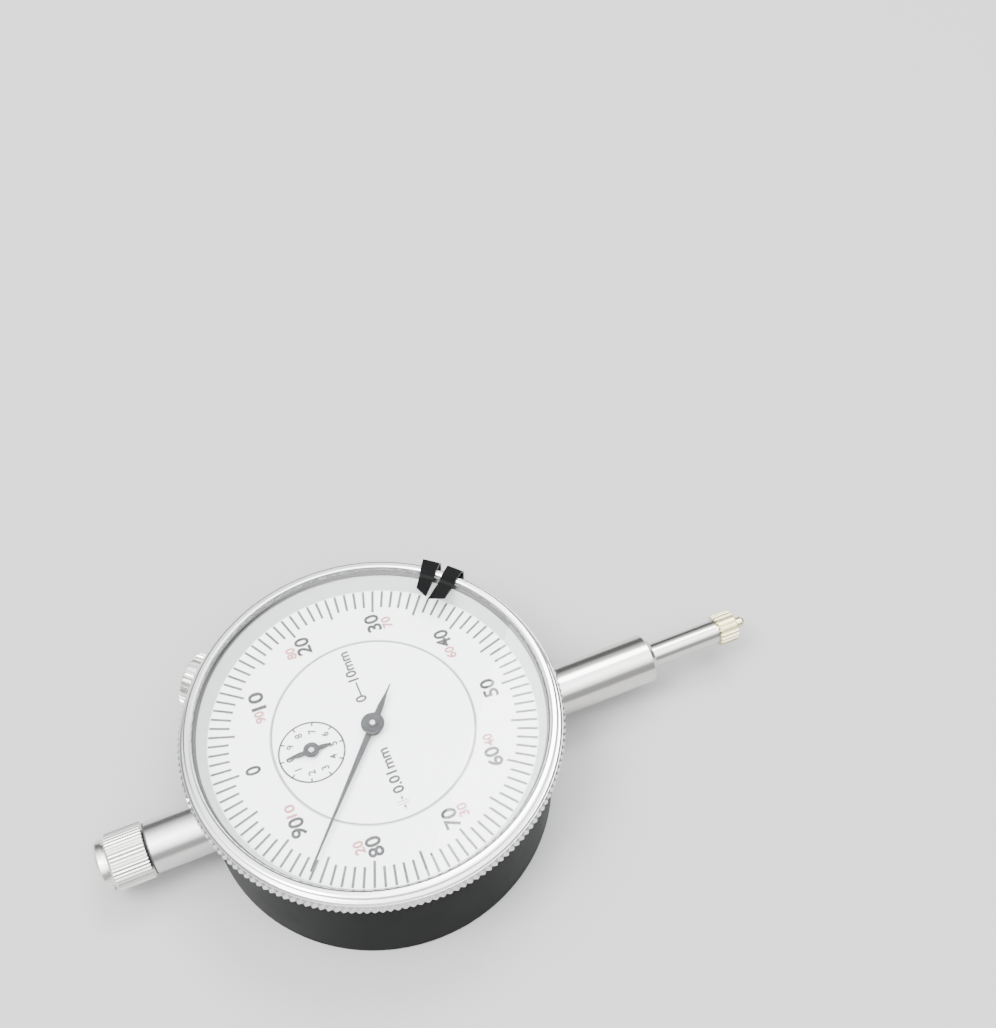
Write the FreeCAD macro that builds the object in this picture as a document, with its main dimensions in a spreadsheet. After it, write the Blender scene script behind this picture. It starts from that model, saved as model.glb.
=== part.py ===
import FreeCAD, Part

import math
import os

import Sketcher
from FreeCAD import Placement, Rotation, Vector

# Dial indicator with a range of 10 mm and 100 divisions of 0.01 mm to the turn.
# Frame: +Z out of the dial, +Y along the spindle towards the lifting cap, -Y towards the contact
# point, +X to the right of the dial. The origin is on the dial's axis, on the back face.

# ---------------------------------------------------------------- driving dimensions (mm, degrees)

DRIVING = {
    # case
    "case_radius": 27.2,
    "case_wall": 2.2,
    "rim_wall": 0.8,
    "spindle_height": 8.0,
    "dial_above_spindle": 10.2,
    "rim_above_dial": 1.4,
    "cover_thickness": 1.4,
    "cover_ledge": 0.65,
    "edge_break": 0.5,
    "boss_width": 12.0,
    "boss_reach": 2.8,
    # stem, upper sleeve and their bushes
    "stem_radius": 4.0,
    "stem_length": 20.1,
    "sleeve_radius": 4.0,
    "sleeve_length": 9.0,
    "seat_step": 0.4,
    "tube_wall": 1.0,
    "stem_chamfer": 0.8,
    "bush_length": 7.0,
    # spindle
    "spindle_radius": 2.0,
    "travel": 10.0,
    "contact_room": 2.2,
    "rack_pitch": 0.625,
    "thread_radius": 1.2,
    # contact point
    "contact_radius": 2.6,
    "contact_length": 3.4,
    "nib_radius": 0.9,
    "nib_length": 2.1,
    # lifting cap
    "cap_radius": 4.35,
    "cap_grip": 5.9,
    "cap_groove": 0.35,
    "cap_disc_radius": 3.95,
    "cap_disc": 1.25,
    "washer_thickness": 0.2,
    # movement
    "counter_offset": 9.69,
    "plate_above_spindle": 2.6,
    "lower_plate": 1.0,
    "plate_gap": 4.0,
    "upper_plate": 0.8,
    "gear_width": 0.8,
    "arbor_radius": 0.6,
    "pivot_radius": 0.4,
    # bezel
    "skirt_depth": 5.4,
    "skirt_wall": 1.0,
    "flange_overhang": 1.45,
    "flange_top": 3.2,
    "ring_top": 4.6,
    "ring_width": 1.25,
    "crystal_seat": 2.4,
    "crystal_thickness": 1.3,
    "seal_thickness": 0.2,
    "plate_thickness": 0.4,
    "scale_margin": 2.5,
    "scale_inner": 15.5,
    # bezel lock
    "lock_angle": 44.0,
    "lock_drop": 4.4,
    "lock_bush_radius": 2.4,
    "lock_screw_radius": 1.25,
    "knob_radius": 4.5,
    "knob_width": 3.4,
    # pointers
    "pointer_length": 23.8,
    "pointer_tail": 7.2,
    "pointer_thickness": 0.2,
    "pointer_height": 1.2,
    "hub_radius": 1.77,
    "small_pointer": 3.9,
    "small_tail": 3.1,
    # tolerance markers
    "marker_thickness": 0.3,
    # clearances
    "static_fit": 0.02,
    "running_fit": 0.05,
    "pivot_fit": 0.03,
    "gap": 0.1,
}

# ---------------------------------------------------------------- counts, angles and tooth shapes

RACK_PINION_TEETH = 16
CENTRE_PINION_TEETH = 10
LARGE_GEAR_TEETH = 100
BEZEL_KNURLS = 168
CAP_KNURLS = 48
CONTACT_KNURLS = 22
KNOB_KNURLS = 33
BEZEL_KNURL_DEPTH = 0.42
CAP_KNURL_DEPTH = 0.1
CONTACT_KNURL_DEPTH = 0.28
KNOB_KNURL_DEPTH = 0.4
COVER_SCREW_RADIUS = 0.85
PLATE_SCREW_RADIUS = 0.8
PILLAR_FOOT_RADIUS = 0.9
BRIDGE_SCREW_RADIUS = 0.6
PRESSURE_ANGLE = math.radians(20)
ADDENDUM = 0.8
DEDENDUM = 1.15
BACKLASH = 0.11
BEZEL_SETTING = 1.5
DIVISION = 3.6
REST_READING = 86.0
# Plan of each tolerance marker: (distance from the ring's inner edge, clockwise dial angle).
MARKER_PLANS = {
    "limit_marker_left": [(4.0, 126.6), (4.0, 132.4), (-4.0, 132.3), (-2.9, 127.4)],
    "limit_marker_right": [(4.0, 135.4), (4.0, 140.4), (-3.2, 139.6), (-4.2, 133.6)],
}
LUG_ANGLES = (0, 120, 240)
PILLAR_ANGLES = (60, 180, 300)
COVER_SCREW_ANGLES = (45, 135, 225, 315)
TOWARDS_CAP = Rotation(Vector(1, 0, 0), -90)
TOWARDS_CONTACT = Rotation(Vector(1, 0, 0), 90)
SIDEWAYS = Rotation(Vector(0, 1, 0), 90)
UPRIGHT = Rotation()

doc = FreeCAD.newDocument("dial_indicator")
sheet = doc.addObject("Spreadsheet::Sheet", "sizes")
for row, (alias, number) in enumerate(DRIVING.items(), start=1):
    sheet.set(f"A{row}", alias)
    sheet.set(f"B{row}", str(number))
    sheet.setAlias(f"B{row}", alias)
doc.recompute()


class Size:
    """A length worked out from the sheet: the expression that binds it and its value now."""

    def __init__(self, text, value):
        self.text = text
        self.value = float(value)

    def __add__(self, other):
        other = as_size(other)
        return Size(f"({self.text} + {other.text})", self.value + other.value)

    def __sub__(self, other):
        other = as_size(other)
        return Size(f"({self.text} - {other.text})", self.value - other.value)

    def __mul__(self, other):
        other = as_size(other)
        return Size(f"({self.text} * {other.text})", self.value * other.value)

    def __truediv__(self, other):
        other = as_size(other)
        return Size(f"({self.text} / {other.text})", self.value / other.value)

    def __neg__(self):
        return Size(f"(0 - {self.text})", -self.value)

    __radd__ = __add__

    def __rsub__(self, other):
        return as_size(other) - self

    __rmul__ = __mul__


def as_size(value):
    """A plain number as a Size; a Size stays as it is."""
    return value if isinstance(value, Size) else Size(repr(float(value)), value)


def root(size):
    """The square root of a Size."""
    return Size(f"sqrt({size.text})", math.sqrt(size.value))


def driving(alias):
    """The Size of one cell of the sheet."""
    return Size(f"sizes.{alias}", getattr(sheet, alias))


def bind(thing, name, size):
    """Give a property its value, and the expression behind it where it depends on the sheet."""
    size = as_size(size)
    if "sizes." in size.text:
        thing.setExpression(name, size.text)
    elif "." not in name:
        setattr(thing, name, size.value)


def place(thing, x=0, y=0, z=0, turn=UPRIGHT):
    """Turn an object about its own origin and move that origin to x, y, z."""
    sizes = [as_size(value) for value in (x, y, z)]
    thing.Placement = Placement(Vector(*[size.value for size in sizes]), turn)
    for axis, size in zip("xyz", sizes):
        bind(thing, f"Placement.Base.{axis}", size)
    return thing


def polar(radius, angle):
    """x and y at a radius and at an angle in degrees from +X."""
    return radius * math.cos(math.radians(angle)), radius * math.sin(math.radians(angle))


# ---------------------------------------------------------------- modelling helpers

NODES = []


def keep(thing, name):
    """Name a finished sub-part, which is then written to its own file."""
    thing.Label = name
    NODES.append(thing)
    return thing


def new_sketch(body, name, role, offset):
    """A sketch on one of the body's own planes, moved along the plane's normal."""
    sketch = body.newObject("Sketcher::SketchObject", name)
    plane = next(item for item in body.Origin.OriginFeatures if item.Role == role)
    sketch.AttachmentSupport = (plane, "")
    sketch.MapMode = "FlatFace"
    offset = as_size(offset)
    sketch.AttachmentOffset = Placement(Vector(0, 0, offset.value), UPRIGHT)
    bind(sketch, "AttachmentOffset.Base.z", offset)
    return sketch


def hold(sketch, kind, geometry, point, size, name):
    """Dimension a sketch point from the origin, or a circle's radius."""
    size = as_size(size)
    if kind == "Radius":
        index = sketch.addConstraint(Sketcher.Constraint(kind, geometry, size.value))
    else:
        index = sketch.addConstraint(
            Sketcher.Constraint(kind, -1, 1, geometry, point, size.value)
        )
    sketch.renameConstraint(index, name)
    bind(sketch, f"Constraints.{name}", size)


def draw_outline(sketch, points):
    """Draw a closed outline of straight lines through points, each held by its two distances."""
    points = [(as_size(x), as_size(y)) for x, y in points]
    corners = [Vector(x.value, y.value, 0) for x, y in points]
    count = len(points)
    first = sketch.GeometryCount
    for index, corner in enumerate(corners):
        sketch.addGeometry(Part.LineSegment(corner, corners[(index + 1) % count]))
    for index in range(count):
        following = first + (index + 1) % count
        sketch.addConstraint(Sketcher.Constraint("Coincident", first + index, 2, following, 1))
    for index, (x, y) in enumerate(points):
        hold(sketch, "DistanceX", first + index, 1, x, f"x{first + index}")
        hold(sketch, "DistanceY", first + index, 1, y, f"y{first + index}")


def draw_circle(sketch, x, y, radius):
    """Draw a circle held by its centre and radius."""
    x, y, radius = as_size(x), as_size(y), as_size(radius)
    circle = Part.Circle(Vector(x.value, y.value, 0), Vector(0, 0, 1), radius.value)
    index = sketch.addGeometry(circle)
    hold(sketch, "Radius", index, 3, radius, f"r{index}")
    hold(sketch, "DistanceX", index, 3, x, f"x{index}")
    hold(sketch, "DistanceY", index, 3, y, f"y{index}")


def turned(name, outline, angle=360):
    """A body of revolution about its own Z from an outline of (radius, height) corners."""
    body = doc.addObject("PartDesign::Body", name)
    sketch = new_sketch(body, f"{name}_section", "XZ_Plane", 0)
    draw_outline(sketch, outline)
    turning = body.newObject("PartDesign::Revolution", f"{name}_turning")
    turning.Profile = sketch
    turning.ReferenceAxis = (sketch, ["V_Axis"])
    turning.Angle = angle
    return body


def tube(name, inner, outer, low, high, chamfer=0):
    """A turned tube, with both outer edges broken when a chamfer is given."""
    if as_size(chamfer).value == 0:
        return turned(name, [(inner, low), (outer, low), (outer, high), (inner, high)])
    outline = [
        (inner, low), (outer - chamfer, low), (outer, low + chamfer),
        (outer, high - chamfer), (outer - chamfer, high), (inner, high),
    ]
    return turned(name, outline)


def pad(body, name, role, offset, length, outlines=(), circles=()):
    """Add a pad, along the plane's normal, of outlines and circles on one sketch."""
    sketch = new_sketch(body, f"{name}_sketch", role, offset)
    for outline in outlines:
        draw_outline(sketch, outline)
    for circle in circles:
        draw_circle(sketch, *circle)
    feature = body.newObject("PartDesign::Pad", name)
    feature.Profile = sketch
    bind(feature, "Length", length)
    return feature


def pocket(body, name, role, offset, depth, outlines=(), circles=()):
    """Cut a pocket, against the plane's normal, and make sure that it took material away."""
    doc.recompute()
    before = body.Shape.Volume
    sketch = new_sketch(body, f"{name}_sketch", role, offset)
    for outline in outlines:
        draw_outline(sketch, outline)
    for circle in circles:
        draw_circle(sketch, *circle)
    feature = body.newObject("PartDesign::Pocket", name)
    feature.Profile = sketch
    bind(feature, "Length", depth)
    doc.recompute()
    if body.Shape.Volume >= before - 1e-6:
        raise RuntimeError(f"{name} cuts nothing")
    return feature


def around(body, name, features, count):
    """Repeat features evenly about the body's own Z."""
    pattern = body.newObject("PartDesign::PolarPattern", name)
    pattern.Originals = features
    pattern.Axis = (features[0].Profile[0], ["N_Axis"])
    pattern.Angle = 360
    pattern.Occurrences = count
    body.Tip = pattern
    return pattern


def rectangle(x0, x1, y0, y1):
    """The four corners of a rectangle."""
    return [(x0, y0), (x1, y0), (x1, y1), (x0, y1)]


def cylinder(name, radius, height, x=0, y=0, z=0, turn=UPRIGHT):
    """A Part cylinder standing on x, y, z."""
    shape = doc.addObject("Part::Cylinder", name)
    bind(shape, "Radius", radius)
    bind(shape, "Height", height)
    return place(shape, x, y, z, turn)


def cone(name, low_radius, high_radius, height, x=0, y=0, z=0):
    """A Part cone standing on x, y, z."""
    shape = doc.addObject("Part::Cone", name)
    bind(shape, "Radius1", low_radius)
    bind(shape, "Radius2", high_radius)
    bind(shape, "Height", height)
    return place(shape, x, y, z)


def box(name, size, x, y, z):
    """A Part box with its low corner at x, y, z."""
    shape = doc.addObject("Part::Box", name)
    for side, length in zip(("Length", "Width", "Height"), size):
        bind(shape, side, length)
    return place(shape, x, y, z)


def fuse(name, pieces):
    """Join pieces into one solid."""
    joined = doc.addObject("Part::MultiFuse", name)
    joined.Shapes = pieces
    return joined


def cut(name, base, tool):
    """Take a tool away from a base, and make sure that it took material away."""
    result = doc.addObject("Part::Cut", name)
    result.Base = base
    result.Tool = tool
    doc.recompute()
    if result.Shape.Volume >= base.Shape.Volume - 1e-6:
        raise RuntimeError(f"{name} cuts nothing")
    return result


def common(name, base, tool):
    """Keep what two pieces share."""
    result = doc.addObject("Part::Common", name)
    result.Base = base
    result.Tool = tool
    return result


def group(name, pieces):
    """Several separate solids in one sub-part."""
    bundle = doc.addObject("Part::Compound", name)
    bundle.Links = pieces
    return bundle


def raised(name, face, height):
    """A prism on a flat face in the XY plane."""
    prism = doc.addObject("Part::Extrusion", name)
    prism.Base = face
    prism.DirMode = "Custom"
    prism.Dir = Vector(0, 0, 1)
    prism.Solid = True
    bind(prism, "LengthFwd", height)
    return prism


def extruded(name, corners, height):
    """A prism on a flat outline whose corners come from a formula."""
    face = doc.addObject("Part::Feature", f"{name}_outline")
    points = [Vector(x, y, 0) for x, y in corners]
    face.Shape = Part.Face(Part.makePolygon(points + points[:1]))
    return raised(name, face, height)


def at(radius, angle):
    """A point at a radius and an angle in radians."""
    return radius * math.cos(angle), radius * math.sin(angle)


def knurl_corners(count, tip_radius, root_radius, land=0.0):
    """Corners of a straight knurl.

    land is the share of a step that the ridge's flat top takes; 0 makes sharp ridges.
    """
    step = 2 * math.pi / count
    corners = []
    for index in range(count):
        middle = index * step
        if land:
            corners.append(at(tip_radius, middle - step * land / 2))
        corners.append(at(tip_radius, middle + step * land / 2))
        corners.append(at(root_radius, middle + step / 2))
    return corners


def involute(angle):
    """The involute function."""
    return math.tan(angle) - angle


def gear_corners(teeth, module, phase):
    """Corners of a spur gear, with straight flanks between points of the involute.

    phase is the angle in radians of the middle of one tooth.
    """
    pitch_radius = teeth * module / 2
    base_radius = pitch_radius * math.cos(PRESSURE_ANGLE)
    half_tooth = (math.pi / 2 - BACKLASH) * module / (2 * pitch_radius)
    radii = (
        pitch_radius - DEDENDUM * module,
        pitch_radius,
        pitch_radius + ADDENDUM * module,
    )
    flank = []
    for radius in radii:
        slope = math.acos(min(1.0, base_radius / radius))
        flank.append((radius, half_tooth + involute(PRESSURE_ANGLE) - involute(slope)))
    corners = []
    for index in range(teeth):
        middle = phase + index * 2 * math.pi / teeth
        corners += [at(radius, middle - half) for radius, half in flank]
        corners += [at(radius, middle + half) for radius, half in reversed(flank)]
    return corners


def knurled(name, count, tip_radius, depth, low, high, chamfer, land):
    """A knurled band about Z, with its two ends chamfered."""
    tip_radius = as_size(tip_radius)
    corners = knurl_corners(count, tip_radius.value, tip_radius.value - depth, land)
    ridges = place(extruded(f"{name}_ridges", corners, high - low), z=low)
    envelope = turned(f"{name}_envelope", [
        (0, low), (tip_radius - chamfer, low), (tip_radius, low + chamfer),
        (tip_radius, high - chamfer), (tip_radius - chamfer, high), (0, high),
    ])
    return common(name, ridges, envelope)


def screw(name, x, y, z, head=1.3, thick=0.6, shank=PLATE_SCREW_RADIUS, reach=2.0):
    """A slotted screw whose head stands on the face at height z, with its shank below."""
    slot = 0.3
    head_disc = cylinder(f"{name}_head", head, thick, x, y, z)
    shank_rod = cylinder(f"{name}_shank", shank, reach, x, y, z - reach)
    whole = fuse(f"{name}_whole", [head_disc, shank_rod])
    groove = box(f"{name}_slot", (2 * head + 1, slot, slot), x - head - 0.5, y - slot / 2, z + thick - slot)
    return cut(name, whole, groove)


# ---------------------------------------------------------------- levels and radii that pieces share

case_radius = driving("case_radius")
static_fit = driving("static_fit")
running_fit = driving("running_fit")
pivot_fit = driving("pivot_fit")
gap = driving("gap")
travel = driving("travel")

case_inner = case_radius - driving("case_wall")
rim_bore = case_radius - driving("rim_wall")
spindle_z = driving("spindle_height")
dial_z = spindle_z + driving("dial_above_spindle")
rim_top = dial_z + driving("rim_above_dial")
shoulder_z = dial_z - driving("skirt_depth") - 0.3
cover_z = driving("cover_thickness")
cover_seat = case_inner + driving("cover_ledge")
boss_face = case_inner - driving("boss_reach")
cover_screw_ring = case_inner - 1.4
lug_ring = case_inner - 4.2

plate_z = spindle_z + driving("plate_above_spindle")
plate_top = plate_z + driving("lower_plate")
upper_z = plate_top + driving("plate_gap")
upper_top = upper_z + driving("upper_plate")
plate_radius = boss_face - 0.2
upper_radius = plate_radius - 1.4
pillar_ring = plate_radius - 3.4

spindle_radius = driving("spindle_radius")
stem_end = case_radius + driving("stem_length")
sleeve_end = case_radius + driving("sleeve_length")
contact_y = stem_end + travel + driving("contact_room")
cap_y = sleeve_end + driving("washer_thickness") + static_fit
neck_radius = driving("thread_radius") + 0.3
neck_length = driving("cap_grip") - 0.6

# The rack's pitch line, the pinion in mesh with it, and the drive gear's centre, which stands as
# far from the dial's axis as the take-up gear's, so that one centre pinion serves both.
rack_module = driving("rack_pitch") / math.pi
pinion_pitch_radius = rack_module * (RACK_PINION_TEETH / 2)
rack_line = spindle_radius - 0.5
drive_x = rack_line + pinion_pitch_radius
counter_offset = driving("counter_offset")
drive_y = root(counter_offset * counter_offset - drive_x * drive_x)
gear_module = counter_offset * (2 / (LARGE_GEAR_TEETH + CENTRE_PINION_TEETH))
gear_z = plate_top + 0.8
gear_width = driving("gear_width")
arbor_radius = driving("arbor_radius")
pivot_radius = driving("pivot_radius")
bush_radius = pivot_radius + 0.5
spring_x = spindle_radius + 4.6
spring_anchor_y = boss_face - 2.0
guide_pin_y = -(spindle_radius + 2.0)
pin_radius = as_size(0.6)
pin_depth = as_size(1.2)

skirt_outer = rim_bore - running_fit
skirt_inner = skirt_outer - driving("skirt_wall")
flange_radius = case_radius + driving("flange_overhang")
flange_low = driving("rim_above_dial") + gap
ring_outer = case_radius + 0.4
ring_inner = ring_outer - driving("ring_width")
snap_drop = 2.6
snap_wire = 0.3

# ---------------------------------------------------------------- case


def case_body():
    """The round case: wall, rim for the bezel, bosses for stem and sleeve, lugs and screw posts."""
    edge = driving("edge_break")
    groove_depth = snap_wire + 0.02
    outline = [
        (cover_seat, 0), (case_radius - edge, 0), (case_radius, edge),
        (case_radius, rim_top - 0.3), (case_radius - 0.3, rim_top), (rim_bore, rim_top),
        (rim_bore, dial_z - snap_drop + groove_depth),
        (rim_bore + groove_depth, dial_z - snap_drop + groove_depth),
        (rim_bore + groove_depth, dial_z - snap_drop - groove_depth),
        (rim_bore, dial_z - snap_drop - groove_depth),
        (rim_bore, shoulder_z), (case_inner, shoulder_z), (case_inner, cover_z), (cover_seat, cover_z),
    ]
    body = turned("case_blank", outline)
    half = driving("boss_width") / 2
    into_wall = driving("case_wall") / 4
    boss = rectangle(-half, half, spindle_z - driving("stem_radius") - 0.4, shoulder_z - gap)
    length = driving("boss_reach") + into_wall
    pad(body, "stem_boss", "XZ_Plane", boss_face, length, [boss])
    pad(body, "sleeve_boss", "XZ_Plane", -(case_inner + into_wall), length, [boss])
    bore_depth = driving("boss_reach") + driving("case_wall") + 2
    stem_hole = (0, spindle_z, driving("stem_radius") - driving("seat_step") + static_fit)
    sleeve_hole = (0, spindle_z, driving("sleeve_radius") + static_fit)
    pocket(body, "stem_bore", "XZ_Plane", case_radius + 1, bore_depth, circles=[stem_hole])
    pocket(body, "sleeve_bore", "XZ_Plane", -(boss_face - 1), bore_depth, circles=[sleeve_hole])
    lug = rectangle(lug_ring - 2.2, case_inner + into_wall, -2.5, 2.5)
    lug_height = 2.2
    first_lug = pad(body, "lug", "XY_Plane", plate_z - lug_height, lug_height, [lug])
    lug_hole = pocket(body, "lug_hole", "XY_Plane", plate_z, lug_height,
                      circles=[(lug_ring, 0, PLATE_SCREW_RADIUS + static_fit)])
    around(body, "lugs", [first_lug, lug_hole], len(LUG_ANGLES))
    post_x, post_y = polar(cover_screw_ring, COVER_SCREW_ANGLES[0])
    post = pad(body, "post", "XY_Plane", cover_z, 4.6, circles=[(post_x, post_y, 2.1)])
    post_hole = pocket(body, "post_hole", "XY_Plane", cover_z + 3.6, 3.6,
                       circles=[(post_x, post_y, COVER_SCREW_RADIUS + static_fit)])
    around(body, "posts", [post, post_hole], len(COVER_SCREW_ANGLES))
    bore = lock_rod("lock_bore", driving("lock_bush_radius") + static_fit, rim_bore - 1, case_radius + 1)
    keep(cut("case_body", body, bore), "case_body")


def back_cover():
    """The flat back cover, let into the case, with four countersunk screws flush with it."""
    radius = cover_seat - static_fit
    edge = driving("edge_break") / 2
    disc = turned("cover_disc", [(0, 0), (radius - edge, 0), (radius, edge), (radius, cover_z), (0, cover_z)])
    holes = []
    screws = []
    for index, angle in enumerate(COVER_SCREW_ANGLES, start=1):
        x, y = polar(cover_screw_ring, angle)
        hole = cylinder(f"cover_hole_{index}", COVER_SCREW_RADIUS + static_fit, cover_z, x, y, 0)
        sink = cone(f"cover_sink_{index}", 1.7, COVER_SCREW_RADIUS, 0.85, x, y, 0)
        holes += [hole, sink]
        head = cone(f"cover_head_{index}", 1.65, COVER_SCREW_RADIUS, 0.8, x, y, 0.03)
        shank = cylinder(f"cover_shank_{index}", COVER_SCREW_RADIUS, cover_z + 2.6, x, y, 0.4)
        whole = fuse(f"cover_screw_{index}_whole", [head, shank])
        slot = box(f"cover_slot_{index}", (4, 0.4, 0.4), x - 2, y - 0.2, -0.05)
        screws.append(cut(f"cover_screw_{index}", whole, slot))
    keep(cut("back_cover", disc, fuse("cover_holes", holes)), "back_cover")
    keep(group("back_cover_screws", screws), "back_cover_screws")


def stem_and_sleeve():
    """The clamping stem, the upper sleeve, and the bush pressed into the outer end of each."""
    wall = driving("tube_wall")
    bore = spindle_radius + running_fit
    recess = 0.4
    start = boss_face + 0.3
    chamfer = driving("stem_chamfer")
    radius = driving("stem_radius")
    seat = radius - driving("seat_step")
    shoulder = case_radius + static_fit
    stem = turned("stem", [
        (radius - wall, start), (seat, start), (seat, shoulder), (radius, shoulder),
        (radius, stem_end - chamfer), (radius - chamfer, stem_end), (radius - wall, stem_end),
    ])
    stem_bush = tube("stem_bush", bore, radius - wall - static_fit,
                     stem_end - recess - driving("bush_length"), stem_end - recess)
    radius = driving("sleeve_radius")
    sleeve = tube("upper_sleeve", radius - wall, radius, start, sleeve_end)
    sleeve_bush = tube("upper_bush", bore, radius - wall - static_fit,
                       sleeve_end - recess - driving("bush_length"), sleeve_end - recess)
    for piece in (stem, stem_bush):
        place(piece, z=spindle_z, turn=TOWARDS_CONTACT)
        keep(piece, piece.Name)
    for piece in (sleeve, sleeve_bush):
        place(piece, z=spindle_z, turn=TOWARDS_CAP)
        keep(piece, piece.Name)


# ---------------------------------------------------------------- spindle


def spindle():
    """The spindle rod, threaded at both ends, with the rack cut in its -X side."""
    thread = driving("thread_radius")
    body = turned("spindle", [
        (0, 4.4 - contact_y), (thread + 0.05, 4.4 - contact_y), (thread + 0.05, -contact_y),
        (spindle_radius, -contact_y), (spindle_radius, cap_y),
        (neck_radius, cap_y), (neck_radius, cap_y + neck_length), (0, cap_y + neck_length),
    ])
    margin = driving("rack_pitch") * 3
    rack_low = -drive_y - travel - margin
    rack_high = -drive_y + margin
    tip_line = rack_line + rack_module * ADDENDUM
    root_line = rack_line - rack_module * DEDENDUM
    width = spindle_radius * 2 + 1
    flat = rectangle(-(spindle_radius + 1), -tip_line, rack_low, rack_high)
    pocket(body, "rack_flat", "XZ_Plane", width / 2, width, [flat])
    flank = math.tan(PRESSURE_ANGLE)
    gap_half = rack_module * (math.pi / 4 + BACKLASH / 2)
    tip_half = gap_half + rack_module * (ADDENDUM * flank)
    root_half = gap_half - rack_module * (DEDENDUM * flank)
    pitch = driving("rack_pitch")
    steps = round((rack_high.value - rack_low.value) / pitch.value / 2 - 1)
    first = -drive_y - pitch * (2 * steps - 3)
    notch = [
        (-(tip_line + 0.2), first - tip_half), (-tip_line, first - tip_half),
        (-root_line, first - root_half), (-root_line, first + root_half),
        (-tip_line, first + tip_half), (-(tip_line + 0.2), first + tip_half),
    ]
    notch_cut = pocket(body, "rack_notch", "XZ_Plane", width / 2, width, [notch])
    row = body.newObject("PartDesign::LinearPattern", "rack_notches")
    row.Originals = [notch_cut]
    row.Direction = (notch_cut.Profile[0], ["V_Axis"])
    count = 2 * steps - 1
    bind(row, "Length", pitch * (count - 1))
    row.Occurrences = count
    body.Tip = row
    pocket(body, "pin_hole", "YZ_Plane", spindle_radius + 1, pin_depth + 1,
           circles=[(0, guide_pin_y, pin_radius + static_fit)])
    keep(place(body, z=spindle_z, turn=TOWARDS_CAP), "spindle")


def guide_pin():
    """The pin that keeps the spindle from turning and carries the return spring's upper end."""
    start = spindle_radius - pin_depth + static_fit
    end = spring_x + 1.2
    pin = cylinder("guide_pin", pin_radius, end - start, start, guide_pin_y, spindle_z, SIDEWAYS)
    keep(pin, "guide_pin")


def contact_point():
    """The contact point: threaded stud, knurled collar and nib with a rounded end."""
    length = driving("contact_length")
    nib = driving("nib_radius")
    nib_end = length + driving("nib_length")
    thread = driving("thread_radius")
    collar = knurled(
        "contact_collar", CONTACT_KNURLS, driving("contact_radius"), CONTACT_KNURL_DEPTH, 0, length,
        chamfer=0.25, land=0.35,
    )
    core = turned("contact_core", [
        (0, -3.8), (thread, -3.8), (thread, 0.1), (thread, length - 0.1),
        (nib + 0.5, length - 0.1), (nib + 0.5, length + 0.15), (nib, length + 0.45),
        (nib, nib_end - 0.6), (nib * 0.8, nib_end - 0.25), (nib * 0.4, nib_end - 0.05), (0, nib_end),
    ])
    whole = fuse("contact_point", [collar, core])
    keep(place(whole, y=-contact_y - static_fit, z=spindle_z, turn=TOWARDS_CONTACT), "contact_point")


def lifting_cap():
    """The cap on the spindle's top end: knurled grip, groove and end disc, over a thin washer."""
    grip = driving("cap_grip")
    groove = driving("cap_groove")
    disc = driving("cap_disc")
    disc_radius = driving("cap_disc_radius")
    band = knurled(
        "cap_band", CAP_KNURLS, driving("cap_radius"), CAP_KNURL_DEPTH, 0, grip, chamfer=0.35, land=0.4
    )
    core = turned("cap_core", [
        (0, 0.1), (disc_radius - 0.4, 0.1), (disc_radius - 0.4, grip + groove),
        (disc_radius, grip + groove), (disc_radius, grip + groove + disc - 0.4),
        (disc_radius - 0.4, grip + groove + disc), (0, grip + groove + disc),
    ])
    solid = fuse("cap_solid", [band, core])
    hole = cylinder("cap_hole", neck_radius + static_fit, neck_length + 0.2)
    cap = cut("lifting_cap", solid, hole)
    keep(place(cap, y=cap_y + static_fit, z=spindle_z, turn=TOWARDS_CAP), "lifting_cap")
    thickness = driving("washer_thickness")
    washer = tube("cap_washer", spindle_radius + static_fit, driving("sleeve_radius") - 0.15, 0, thickness)
    keep(place(washer, y=cap_y - thickness, z=spindle_z, turn=TOWARDS_CAP), "cap_washer")


# ---------------------------------------------------------------- movement


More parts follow.
